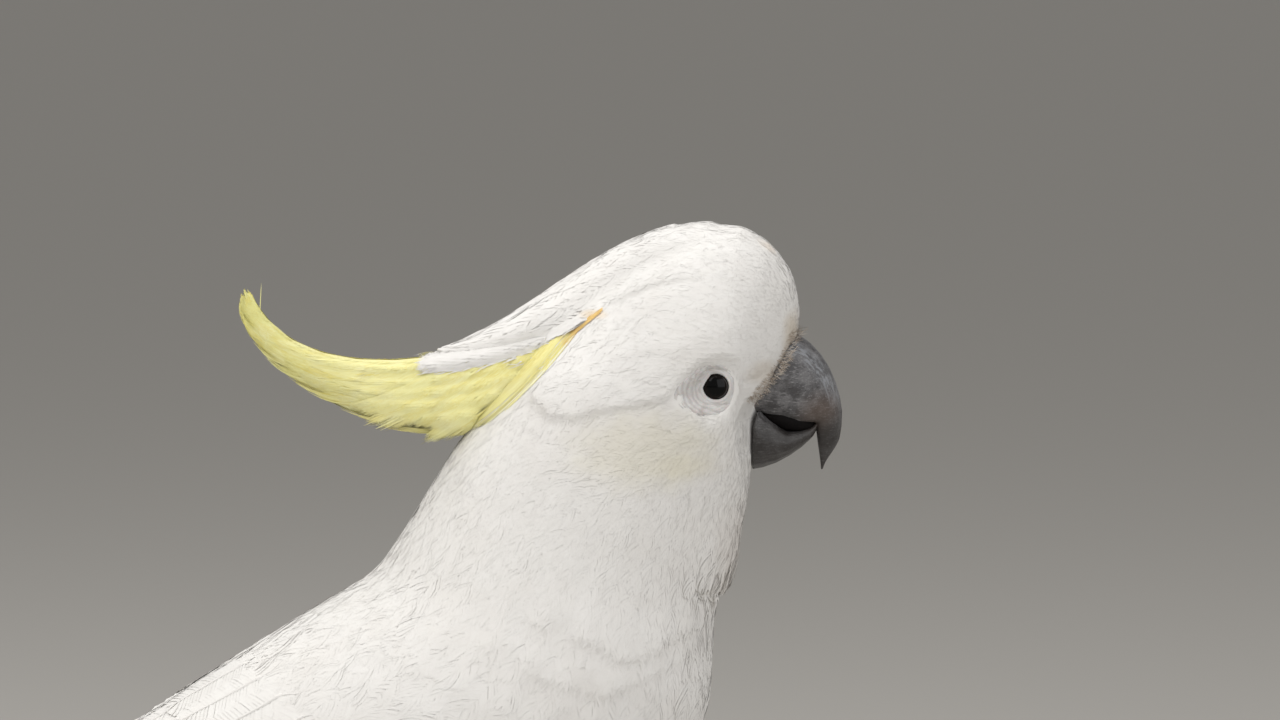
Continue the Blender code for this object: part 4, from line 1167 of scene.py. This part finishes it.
def horn_group():
    """Charcoal horn, dusted pale and scratched. Its layers are drawn out round the curve of the ridge, and it
    is stained brown over the notch. The pale layers on top of the ridge are partly a painted highlight, and
    the horn is painted darker below the line of the mouth as shade, which leaves the claws evenly dark."""
    group, out = new_group("powdered_horn", ("Color", "NodeSocketColor"), ("Height", "NodeSocketFloat"))
    place = place_node(group)
    x, _, z = axes_of(group, place)
    ahead = math_node(group, "SUBTRACT", x, RIDGE_MIDDLE[0])
    above = math_node(group, "SUBTRACT", z, RIDGE_MIDDLE[1])
    outward = vector_node(group, "LENGTH", place_of(group, ahead, above))["Value"]
    around = times(group, math_node(group, "ARCTAN2", above, ahead), 0.0045)
    layers = noise_node(group, place_of(group, outward, around), 1700.0, 3.0)
    speck = noise_node(group, place, 1900.0, 5.0)
    cloud = noise_node(group, place, 210.0, 4.0)
    greyer = range_node(group, cloud, 0.35, 0.68)
    colour = mix_node(group, greyer, (0.060, 0.057, 0.059), (0.150, 0.146, 0.149))
    dusty, dust_grain = range_node(group, cloud, 0.4, 0.62, 0.25, 1.0), range_node(group, speck, 0.52, 0.68)
    dust = times(group, dust_grain, dusty)
    colour = mix_node(group, times(group, dust, 0.6), colour, (0.24, 0.235, 0.24))
    height = times(group, speck, 0.5)
    for turn, scale in ((52.0, 1900.0), (-50.0, 1700.0), (105.0, 2100.0)):
        streak = scratches(group, place, turn, scale, 0.2)
        pale = range_node(group, streak, 0.62, 0.7, 0.0, 0.5)
        dark = range_node(group, streak, 0.30, 0.37, 0.5, 0.0)
        colour = mix_node(group, pale, colour, (0.30, 0.295, 0.30))
        colour = mix_node(group, dark, colour, (0.016, 0.015, 0.015))
        height = plus(group, height, times(group, streak, 0.4))
    # Pale layers along the top of the ridge: partly worn layers of the horn, partly a painted highlight where
    # the ridge faces the light.
    from_inside = range_node(group, outward, 0.0185, 0.0215)
    to_outside = range_node(group, outward, 0.0225, 0.025, 1.0, 0.0)
    ridge = times(group, times(group, from_inside, to_outside), range_node(group, above, 0.0, 0.006))
    pale = times(group, ridge, range_node(group, layers, 0.42, 0.62, 0.15, 0.85))
    colour = mix_node(group, pale, colour, (0.29, 0.30, 0.32))
    from_notch = vector_node(group, "DISTANCE", place, NOTCH)["Value"]
    stained = range_node(group, from_notch, 0.003, 0.0095, 0.6, 0.0)
    colour = mix_node(group, stained, colour, (0.13, 0.088, 0.066))
    # Painted shade: darker towards the bottom, below the line of the mouth, as the lower bill is in shade.
    # The claws lie wholly below it and come out evenly darker.
    low_down = range_node(group, z, 0.2445, 0.254, 0.72, 0.0)
    colour = mix_node(group, low_down, colour, (0.020, 0.016, 0.013))
    group.links.new(colour, out.inputs[0])
    group.links.new(plus(group, height, times(group, layers, 0.4)), out.inputs[1])
    return group


powdered_horn = horn_group()
horn, tree, shader = new_material("horn", 0.46, 0.45)
outputs = place_group(tree, powdered_horn)
tree.links.new(outputs[0], shader.inputs["Base Color"])
bump(tree, shader, outputs[1], 0.5, 0.25)

upper = remeshed("upper_bill", node_bmesh(["bill_upper"], 0.1), 0.42, 4)
points, _ = read_mesh(upper)
# The hook narrows to a point below this height, at this x.
HOOK_START, HOOK_TIP = 244.0, 221.3
hook = smooth_step(HOOK_START - points[:, 2], 0.0, 8.0)
points[:, 0] += hook**2 * (HOOK_TIP - points[:, 0]) * 0.75
points[:, 1] *= 1.0 - 0.55 * hook**2
points[:, 2] -= 2.6 * hook**2
# A low keel runs down the ridge, and a faint one beside it.
in_front = smooth_step(points[:, 0] - 0.35 * (276.0 - points[:, 2]), 206.0, 214.0)
ridge = np.exp(-((points[:, 1] / 2.4) ** 2)) * in_front
side_ridge = np.exp(-(((np.abs(points[:, 1]) - 5.6) / 1.3) ** 2)) * smooth_step(points[:, 0], 216.0, 221.0)
points[:, 0] += 0.35 * ridge + 0.28 * side_ridge
corner = smooth_step(210.0 - points[:, 0], 0.0, 7.0) * (1.0 - smooth_step(points[:, 2], 257.0, 264.0))
points[:, 0] -= 3.4 * corner
move_points(upper, points)
add_piece("upper_bill", upper, horn, "horn", "bill_upper")

# The cutting edge of the lower half: x and height.
LOWER_EDGE = (
    (199.6, 201.5, 203.8, 205.5, 206.5, 208.4, 210.5, 214.0, 216.0, 218.4),
    (254.0, 253.0, 251.7, 250.1, 249.2, 247.4, 246.0, 246.4, 247.2, 248.8),
)  # fmt: skip
lower = remeshed("lower_bill", node_bmesh(["bill_lower"], 0.1), 0.42, 4)
points, _ = read_mesh(lower)
# Its cutting edge rises to the corner of the mouth behind and to the notch of the upper half in front.
edge_x = np.linspace(199.6, 218.4, 48)
edge_z = [points[np.abs(points[:, 0] - x) < 0.5, 2].max() for x in edge_x]
raised = np.interp(points[:, 0], *LOWER_EDGE) - np.interp(points[:, 0], edge_x, edge_z)
points[:, 2] += raised * smooth_step(points[:, 2], 238.0, 247.0)
points[:, 0] += 1.9 * smooth_step(points[:, 0], 208.0, 218.4) ** 2
move_points(lower, points)
add_piece("lower_bill", lower, horn, "horn", "bill_lower")

# Near-black skin for the mouth and tongue: partly their own dark colour, partly painted shade inside the
# mouth.
shaded_mouth_skin, tree, shader = new_material("shaded_mouth_skin", 0.7, 0.1)
moist = noise_node(tree, place_node(tree), 700.0)
wet_and_shaded = mix_node(tree, moist, (0.003, 0.003, 0.003), (0.008, 0.006, 0.006))
tree.links.new(wet_and_shaded, shader.inputs["Base Color"])
bump(tree, shader, moist, 0.4, 0.3)
# A near-black ellipsoid fills the mouth between the halves: a dark piece standing in for the shade inside.
LINING_SIZE, LINING_SLOPE, LINING_PLACE = (10.5, 9.6, 4.4), math.radians(14.0), (0.2095, 0.0, 0.2500)
bm = bmesh.new()
bmesh.ops.create_icosphere(bm, subdivisions=4, radius=MM)
bmesh.ops.scale(bm, verts=bm.verts, vec=LINING_SIZE)
bmesh.ops.rotate(bm, verts=bm.verts, matrix=Matrix.Rotation(LINING_SLOPE, 3, "Y"))
bmesh.ops.translate(bm, verts=bm.verts, vec=LINING_PLACE)
add_piece("mouth_lining", mesh_from("mouth_lining", bm), shaded_mouth_skin, "tongue")
tongue = remeshed("tongue_skin", node_bmesh(["tongue"], 0.0), 0.3, 3)
add_piece("tongue_skin", tongue, shaded_mouth_skin, "tongue", "tongue")

# Fine tan bristles cross the base of the bill, and a few stand out over its top.
BRISTLES = 520
bristle_tan, tree, shader = new_material("bristle_tan", 0.7, 0.2)
shade = mix_node(tree, tone(tree, 0.0, 1.0), (0.66, 0.60, 0.53), (0.34, 0.26, 0.19))
tree.links.new(shade, shader.inputs["Base Color"])
# From the top of the bill's base to its foot the bristles turn from up to down, and get shorter.
BRISTLE_SLANTS = ((0.0, 0.1, 0.3, 1.0), (40.0, 10.0, -15.0, -35.0))
BRISTLE_LENGTHS = ((0.0, 0.06, 0.15), (2.4, 1.4, 1.0))
OUT_OF_FACE = np.array((0.83, -0.56))
bristle_tree = tree_over(form, upper)
base = np.array(BILL_BASE[:5])
for side_name, side in SIDES.items():
    share = RNG.uniform(0.0, 1.0, BRISTLES)
    start = np.stack([np.interp(share * 4.0, np.arange(5.0), base[:, axis]) for axis in (0, 1)], axis=1)
    start -= RNG.uniform(-0.2, 3.4, (BRISTLES, 1)) * OUT_OF_FACE
    slant = np.radians(np.interp(share, *BRISTLE_SLANTS) + RNG.normal(0.0, 24.0, BRISTLES))
    length = RNG.uniform(0.8, 2.0, BRISTLES) * np.interp(share, *BRISTLE_LENGTHS)
    station = np.linspace(0.0, 1.0, 5)[None]
    bend = slant[:, None] + 0.3 * RNG.normal(0.0, 1.0, (BRISTLES, 1)) * station
    step = np.stack([np.cos(bend), np.sin(bend)], axis=2) * (length / 4.0)[:, None, None]
    lines = start[:, None] + np.cumsum(step, axis=1) - step[:, :1]
    height = np.linspace(0.2, 0.45, 5)[None, :, None]
    bristles = combed(bristle_tree, lines, side, 0.11, 0.7, height, RNG.uniform(0.0, 1.0, BRISTLES))
    add_feathers(f"bristles_{side_name}", [bristles], bristle_tan, "white_plumage")

# ---- Wings ------------------------------------------------------------------------------------------------
# The folded wings lie along the body. Rows of coverts overlap the secondaries, and those the long primaries,
# whose tips reach back over the tail. Each is a stiff feather with a shaft, and the upper ones lie over the
# lower.

# Slices across the body that carry the wing: x and z of the body's middle line, and the way up across it.
WING_SLICES = np.array((
    (128.6, 172.9, -0.919, 0.394), (111.5, 152.2, -0.860, 0.511), (78.5, 126.0, -0.655, 0.756),
    (36.0, 107.5, -0.469, 0.883), (-8.0, 96.2, -0.483, 0.876), (-51.0, 89.0, -0.640, 0.768),
    (-87.5, 80.2, -0.493, 0.870), (-121.0, 72.2, -0.397, 0.918), (-152.0, 59.5, -0.371, 0.929),
    (-180.0, 48.0, -0.406, 0.914),
))  # fmt: skip
FIRST_SLICE = 10.0
# The wing's lower edge: a slice's number, and the angle up round it. Its upper edge is at one angle.
WING_EDGE = ((10, -6), (11, -27), (12, -30), (13, -27), (15, -18), (17, -8), (18, 4), (19, 22))
WING_TOP, WING_BED_DEPTH = 83.0, 0.9
# Rows of feathers: where they root and end, counted in slices, at the wing's lower and upper edge, then how
# many there are, their width at the middle, their number of barbs on a side, and how far the row stands off.
WING_ROWS = {
    "primaries": ((15.1, 15.3), (18.75, 18.95), 7, 19.0, 60, 0.1),
    "secondaries": ((12.5, 12.9), (15.6, 16.3), 9, 22.0, 48, 0.35),
    "greater_coverts": ((11.9, 12.3), (13.15, 13.75), 9, 19.0, 30, 0.6),
    "median_coverts": ((11.35, 11.7), (12.35, 12.75), 10, 16.0, 24, 0.7),
}


def wing_spots(at, turn, side, tree):
    """Places on a wing: how far along the body, counted in slices, and the angle up round it."""
    low = np.clip((at - FIRST_SLICE).astype(int), 0, len(WING_SLICES) - 2)
    rest = (at - FIRST_SLICE - low)[:, None]
    x, z, up_x, up_z = (WING_SLICES[low] * (1 - rest) + WING_SLICES[low + 1] * rest).T
    rise, out = np.sin(np.radians(turn)), np.cos(np.radians(turn))
    ways = np.stack([up_x * rise, side * out, up_z * rise], axis=1)
    middles = np.stack([x, np.zeros_like(x), z], axis=1)
    places = np.empty_like(ways)
    for row, (middle, way) in enumerate(zip(middles, ways)):
        hit = tree.ray_cast((middle + way * 150.0) * MM, -way, 0.149)[0]
        places[row] = np.array(hit) / MM if hit is not None else middle + way * 12.0
    return places


SHAFT_WIDTH, SHAFT_HEIGHT = 1.5, 0.45


def long_feathers(name, tree, tree_ups, path, widths, barbs, lifts, slot, material):
    """Stiff feathers along given shafts that lie on a surface: a closed vane, fine barbs over it, and the
    shaft."""

    def on_surface(places):
        flat, numbers = nearest(tree, places)
        return flat, tree_ups[numbers]

    def spread_out(along, across):
        places, run = along_shaft(path, along), unit(along_shaft(np.gradient(path, axis=1), along))
        _, ups = on_surface(places.reshape(-1, 3))
        ups = ups.reshape(places.shape)
        places = places + unit(np.cross(ups, run)) * (across * widths[:, None, None] / 2)[..., None]
        flat, ups = on_surface(places.reshape(-1, 3))
        return flat.reshape(places.shape), ups.reshape(places.shape)

    def heights(along, across):
        bend = lifts[:, None, None] * (0.35 + 0.65 * along) - 0.35 * across**2 * along
        return bend - 0.9 * (1.0 - smooth_step(along, 0.0, 0.12))

    count = len(path)
    bake, tones = bake_places(path[:, 0]), RNG.uniform(0.0, 1.0, count)
    along = np.broadcast_to(np.linspace(0.0, 0.995, 18)[None, :, None], (count, 18, 7))
    across = blade_half_width(along) * np.linspace(-1.0, 1.0, 7)
    points, ups = spread_out(along, across)
    ups = unit(ups)
    points = points + ups * (heights(along, across) - 0.12)[..., None]
    blocks = [(points, ups, tones * 0.8, bake)]

    starts = np.linspace(0.02, 0.93, barbs)[None, None, :, None]
    starts = starts + RNG.normal(0.0, 0.002, (count, 2, barbs, 1))
    ends = np.minimum(starts + 0.16 * (1.0 - 0.3 * starts), 0.997) + RNG.normal(0.0, 0.0025, starts.shape)
    share = BARB_SHARES[None, None, None, :]
    along = starts + (ends - starts) * share
    tips = blade_half_width(ends) * (1.0 + RNG.normal(0.0, 0.015, ends.shape))
    across = tips * (1.0 - (1.0 - share) ** 1.6)
    across[:, 0] *= -1.0
    along, across = along.reshape(count, -1, 4), across.reshape(count, -1, 4)
    points, ups = spread_out(along, across)
    points = points + ups * heights(along, across)[..., None]
    each = points.shape[1]
    lengths = np.linalg.norm(np.diff(path, axis=1), axis=2).sum(axis=1)
    half = np.repeat(lengths / barbs * 0.42, each)[:, None] * BARB_WIDTHS
    ups = ups.reshape(-1, 4, 3)
    points, own = ribbons(points.reshape(-1, 4, 3), ups, half, RNG.normal(0.0, 0.1, count * each))
    ups = unit(ups[:, :, None, :] * 0.85 + own * 0.15)
    shades = np.clip(np.repeat(tones, each) * 0.5 + RNG.uniform(0.0, 0.4, count * each), 0.0, 1.0)
    blocks.append((points, ups, shades, np.repeat(bake, each, axis=0)))

    along = np.broadcast_to(np.linspace(0.0, 0.97, 18)[None, :, None], (count, 18, 4))
    shaft_width = SHAFT_WIDTH * (1.0 - 0.75 * along) / widths[:, None, None]
    across = shaft_width * np.array((-1.0, -0.5, 0.5, 1.0))
    points, ups = spread_out(along, across)
    shaft_height = SHAFT_HEIGHT * (1.0 - 0.7 * along) * np.array((0.0, 1.0, 1.0, 0.0))
    points = points + ups * (heights(along, across) + shaft_height)[..., None]
    edge = unit(np.gradient(points, axis=2))
    run = unit(np.gradient(points, axis=1))
    shaft_ups = unit(np.cross(edge, run))
    shaft_ups *= np.sign((shaft_ups * ups).sum(axis=3, keepdims=True) + 1e-9)
    blocks.append((points, shaft_ups, np.ones(count), bake))
    add_feathers(name, blocks, material, slot)


def blade_half_width(share):
    """A flight feather's half width along it: even for most of its length, with a blunt round end."""
    end = np.sqrt(np.maximum(1.0 - (np.maximum(share - 0.9, 0.0) / 0.101) ** 2, 0.0))
    return end * (0.62 + 0.38 * smooth_step(share, 0.0, 0.35)) * (1.0 - 0.12 * smooth_step(share, 0.7, 1.0))


def surface(name, names, grow, cell):
    """A closed smooth mesh over some solids, a tree that finds places on it, and its normals."""
    mesh = remeshed(name, node_bmesh(names, grow), cell, 6)
    return mesh, tree_over(mesh), face_values(mesh, "normal")


quill_white = plumage_material("quill_white", 0.5)
wing_under, tree, shader = new_material("wing_under", 0.65, 0.25)
place = place_node(tree)
mottle = noise_node(tree, place, 300.0)
tree.links.new(mix_node(tree, mottle, (0.80, 0.76, 0.55), (0.84, 0.82, 0.70)), shader.inputs["Base Color"])
bump(tree, shader, noise_node(tree, place, 900.0), 0.3, 0.3)
for side_name, side in SIDES.items():
    parts = [f"wing_{side_name}_{part}" for part in ("coverts", "secondaries", "primaries")]
    wing_mesh, wing_tree, wing_ups = surface(f"wing_bed_{side_name}", parts, 0.1, 1.1)
    points, normals = read_mesh(wing_mesh)
    move_points(wing_mesh, points - WING_BED_DEPTH * normals)
    add_piece(f"wing_bed_{side_name}", wing_mesh, wing_under, "white_plumage", *parts)
    for row, (roots, tips, count, width, barbs, lift) in WING_ROWS.items():
        share = (np.arange(count) + 0.5) / count
        first, last = np.interp(share, (0, 1), roots), np.interp(share, (0, 1), tips)
        path = np.empty((count, len(SHAFT_SHARES), 3))
        for column, station in enumerate(SHAFT_SHARES):
            at = first + (last - first) * station + RNG.normal(0.0, 0.01, count)
            low = np.interp(at, *np.array(WING_EDGE, dtype=float).T)
            path[:, column] = wing_spots(at, low + (WING_TOP - low) * (share - 0.02), side, wing_tree)
        widths = width * np.interp(share, (0.0, 0.5, 1.0), (0.85, 1.0, 1.05))
        lifts = lift + 0.5 * share
        name = f"{row}_{side_name}"
        long_feathers(name, wing_tree, wing_ups, path, widths, barbs, lifts, "white_plumage", quill_white)

# ---- Tail -------------------------------------------------------------------------------------------------
# Twelve broad blunt feathers, stepped like tiles from the middle pair down to the outer ones, lie on the thin
# plate of the tail, and twelve more lie under it. They are white, and the plate is washed with pale yellow.

TAIL_BASE, TAIL_TIP = np.array((-66.0, 95.0)), np.array((-227.5, 23.5))
TAIL_FEATHERS, TAIL_BARBS, TAIL_FEATHER_WIDTH, TAIL_BED_DEPTH = 12, 70, 13.0, 0.55

# Half the fan's width at the root, and how much it spreads; how far it arches across; how far it lies off the
# middle of its plate.
FAN_ROOT, FAN_SPREAD, FAN_ARCH, FAN_OFF = 11.0, 28.0, 6.5, 4.0

tail_mesh, tail_tree, tail_ups = surface("tail_bed", ["tail"], 0.25, 0.9)
points, normals = read_mesh(tail_mesh)
# The plate ends short of the feathers' tips.
run = TAIL_TIP - TAIL_BASE
past = np.maximum((points[:, [0, 2]] - TAIL_BASE) @ run / (run @ run) - 0.85, 0.0) * -0.38
points[:, [0, 2]] += past[:, None] * run
move_points(tail_mesh, points - TAIL_BED_DEPTH * normals)
add_piece("tail_bed", tail_mesh, wing_under, "white_plumage", "tail")
middle = (np.arange(TAIL_FEATHERS) + 0.5) / TAIL_FEATHERS * 2.0 - 1.0
middle = middle[np.argsort(-np.abs(middle))]
for face_name, face in (("upper", 1.0), ("under", -1.0)):
    path = np.empty((TAIL_FEATHERS, len(SHAFT_SHARES), 3))
    for column, station in enumerate(SHAFT_SHARES):
        reach = 0.04 + (0.955 - 0.05 * middle**2) * station
        half = FAN_ROOT + FAN_SPREAD * reach**0.8
        x, z = (TAIL_BASE[None] + (TAIL_TIP - TAIL_BASE)[None] * reach[:, None]).T
        z = z - FAN_ARCH * middle**2 * (0.4 + 0.6 * reach)
        path[:, column] = np.stack([x, middle * half, z], axis=1)
    path[..., 2] += face * FAN_OFF
    widths = np.full(TAIL_FEATHERS, TAIL_FEATHER_WIDTH)
    lifts = 0.15 + 0.5 * (1.0 - np.abs(middle)) * (1.0 if face > 0 else 0.3)
    name = f"tail_{face_name}"
    long_feathers(name, tail_tree, tail_ups, path, widths, TAIL_BARBS, lifts, "white_plumage", quill_white)

# ---- Legs and feet ----------------------------------------------------------------------------------------
# Short bare shanks and two toes forward, two back, in dark grey scaly skin dusted with powder. Broad scales
# cross the tops of the toes and small round ones cover the rest. The claws are worn black horn.


def scale_group():
    """Small rounded scales with pale powder in the creases between them."""
    group, out = new_group("scaly_skin", ("Color", "NodeSocketColor"), ("Height", "NodeSocketFloat"))
    place = place_node(group)
    cells = group.nodes.new("ShaderNodeTexVoronoi")
    cells.feature = "DISTANCE_TO_EDGE"
    cells.inputs["Scale"].default_value = 620.0
    group.links.new(place, cells.inputs["Vector"])
    edge = range_node(group, cells.outputs["Distance"], 0.0, 0.18)
    cloud = noise_node(group, place, 160.0)
    speck = noise_node(group, place, 1500.0)
    greyer = range_node(group, cloud, 0.35, 0.7)
    colour = mix_node(group, greyer, (0.055, 0.053, 0.055), (0.12, 0.115, 0.115))
    colour = mix_node(group, range_node(group, speck, 0.52, 0.7, 0.0, 0.35), colour, (0.26, 0.25, 0.245))
    colour = mix_node(group, range_node(group, edge, 0.0, 0.5, 0.55, 0.0), colour, (0.25, 0.24, 0.235))
    group.links.new(colour, out.inputs[0])
    group.links.new(edge, out.inputs[1])
    return group


scales = scale_group()
scaly_skin, tree, shader = new_material("scaly_skin", 0.62, 0.35)
outputs = place_group(tree, scales)
tree.links.new(outputs[0], shader.inputs["Base Color"])
bump(tree, shader, outputs[1], 0.8, 0.35)
claw_horn, tree, shader = new_material("claw_horn", 0.35, 0.5)
outputs = place_group(tree, powdered_horn)
worn = mix_node(tree, 0.55, outputs[0], (0.014, 0.013, 0.013))
tree.links.new(worn, shader.inputs["Base Color"])
bump(tree, shader, outputs[1], 0.3, 0.2)
# Where the toes meet: x and y. The broad scales run across the toes from there, and round the shank.
FOOT_BALLS = {"right": (93.0, -29.0), "left": (79.0, 29.0)}
SCALE_STEP, SCALE_DEPTH = 2.6, 0.3
TOES = ("inner_back", "inner_front", "outer_back", "outer_front")
for side_name in SIDES:
    names = [f"foot_{side_name}", f"shank_{side_name}"]
    foot = remeshed(f"foot_skin_{side_name}", node_bmesh(names, 0.3), 0.62, 3)
    points, normals = read_mesh(foot)
    on_top = smooth_step(normals[:, 2], 0.1, 0.7) * smooth_step(points[:, 2], 2.5, 5.0)
    reach = np.linalg.norm(points[:, :2] - FOOT_BALLS[side_name], axis=1)
    shank = smooth_step(points[:, 2], 11.0, 14.0)
    band = np.where(shank > 0.5, points[:, 2], reach)
    scute = np.abs(np.sin(math.pi * band / SCALE_STEP)) ** 0.5
    squeeze = SCALE_DEPTH * np.maximum(on_top, shank) * (scute - 1.0)
    points += normals * squeeze[:, None]
    points[:, 2] = np.maximum(points[:, 2], 0.0)
    move_points(foot, points)
    add_piece(f"foot_skin_{side_name}", foot, scaly_skin, "scaly_skin", *names)
    for toe in TOES:
        node = f"claw_{side_name}_{toe}"
        claw = remeshed(f"{node}_horn", node_bmesh([node], 0.3), 0.3, 4)
        points, _ = read_mesh(claw)
        points[:, 2] = np.maximum(points[:, 2], 0.15)
        move_points(claw, points)
        add_piece(f"{node}_horn", claw, claw_horn, "horn", node)

# ---- Camera, floor and light ------------------------------------------------------------------------------
# A wide pale floor under soft light from above and behind the bird's right shoulder, with a weaker fill from
# the front. The camera looks at the bird's right side from far off and a little above it.

CAMERA_DISTANCE, CAMERA_RISE, CAMERA_LENS = 3000.0, math.radians(4.0), 272.0
VIEW_CENTRE = np.array((165.0, 0.0, 267.6))

camera_data = bpy.data.cameras.new("camera")
camera_data.lens = CAMERA_LENS
camera_data.clip_end = 100.0
camera = bpy.data.objects.new("camera", camera_data)
bpy.context.scene.collection.objects.link(camera)
away = np.array((0.0, -math.cos(CAMERA_RISE), math.sin(CAMERA_RISE)))
camera.location = (VIEW_CENTRE + CAMERA_DISTANCE * away) * MM
camera.rotation_euler = (math.pi / 2 - CAMERA_RISE, 0.0, 0.0)
bpy.context.scene.camera = camera

bm = bmesh.new()
bmesh.ops.create_grid(bm, x_segments=1, y_segments=1, size=40.0)
floor_mesh = mesh_from("floor", bm)
floor = bpy.data.objects.new("floor", floor_mesh)
bpy.context.scene.collection.objects.link(floor)
floor_grey, tree, shader = new_material("floor_grey", 0.9, 0.2)
fill(tree, shader.inputs["Base Color"], (0.46, 0.445, 0.42))
floor_mesh.materials.append(floor_grey)


def area_light(name, place, target, size, power, colour):
    """A square soft light that faces a target. Places are in metres."""
    light = bpy.data.lights.new(name, "AREA")
    light.size = size
    light.energy = power
    light.color = colour
    holder = bpy.data.objects.new(name, light)
    holder.location = place
    holder.rotation_euler = (Vector(target) - Vector(place)).to_track_quat("-Z", "Y").to_euler()
    bpy.context.scene.collection.objects.link(holder)


area_light("sky", (-0.35, 0.15, 1.9), (0.1, 0.0, 0.2), 2.4, 25.5, (1.0, 0.99, 0.975))
area_light("key", (-0.75, -0.75, 1.5), (0.12, 0.0, 0.22), 1.1, 8.5, (1.0, 0.985, 0.96))
area_light("fill", (1.3, -1.7, 0.9), (0.15, 0.0, 0.22), 1.8, 15.5, (0.98, 0.985, 1.0))
world = bpy.data.worlds.new("world")
world.use_nodes = True
background = world.node_tree.nodes["Background"]
fill(world.node_tree, background.inputs["Color"], (1.0, 0.985, 0.96))
fill(world.node_tree, background.inputs["Strength"], 0.4)
bpy.context.scene.world = world
bpy.context.scene.view_settings.view_transform = "Standard"
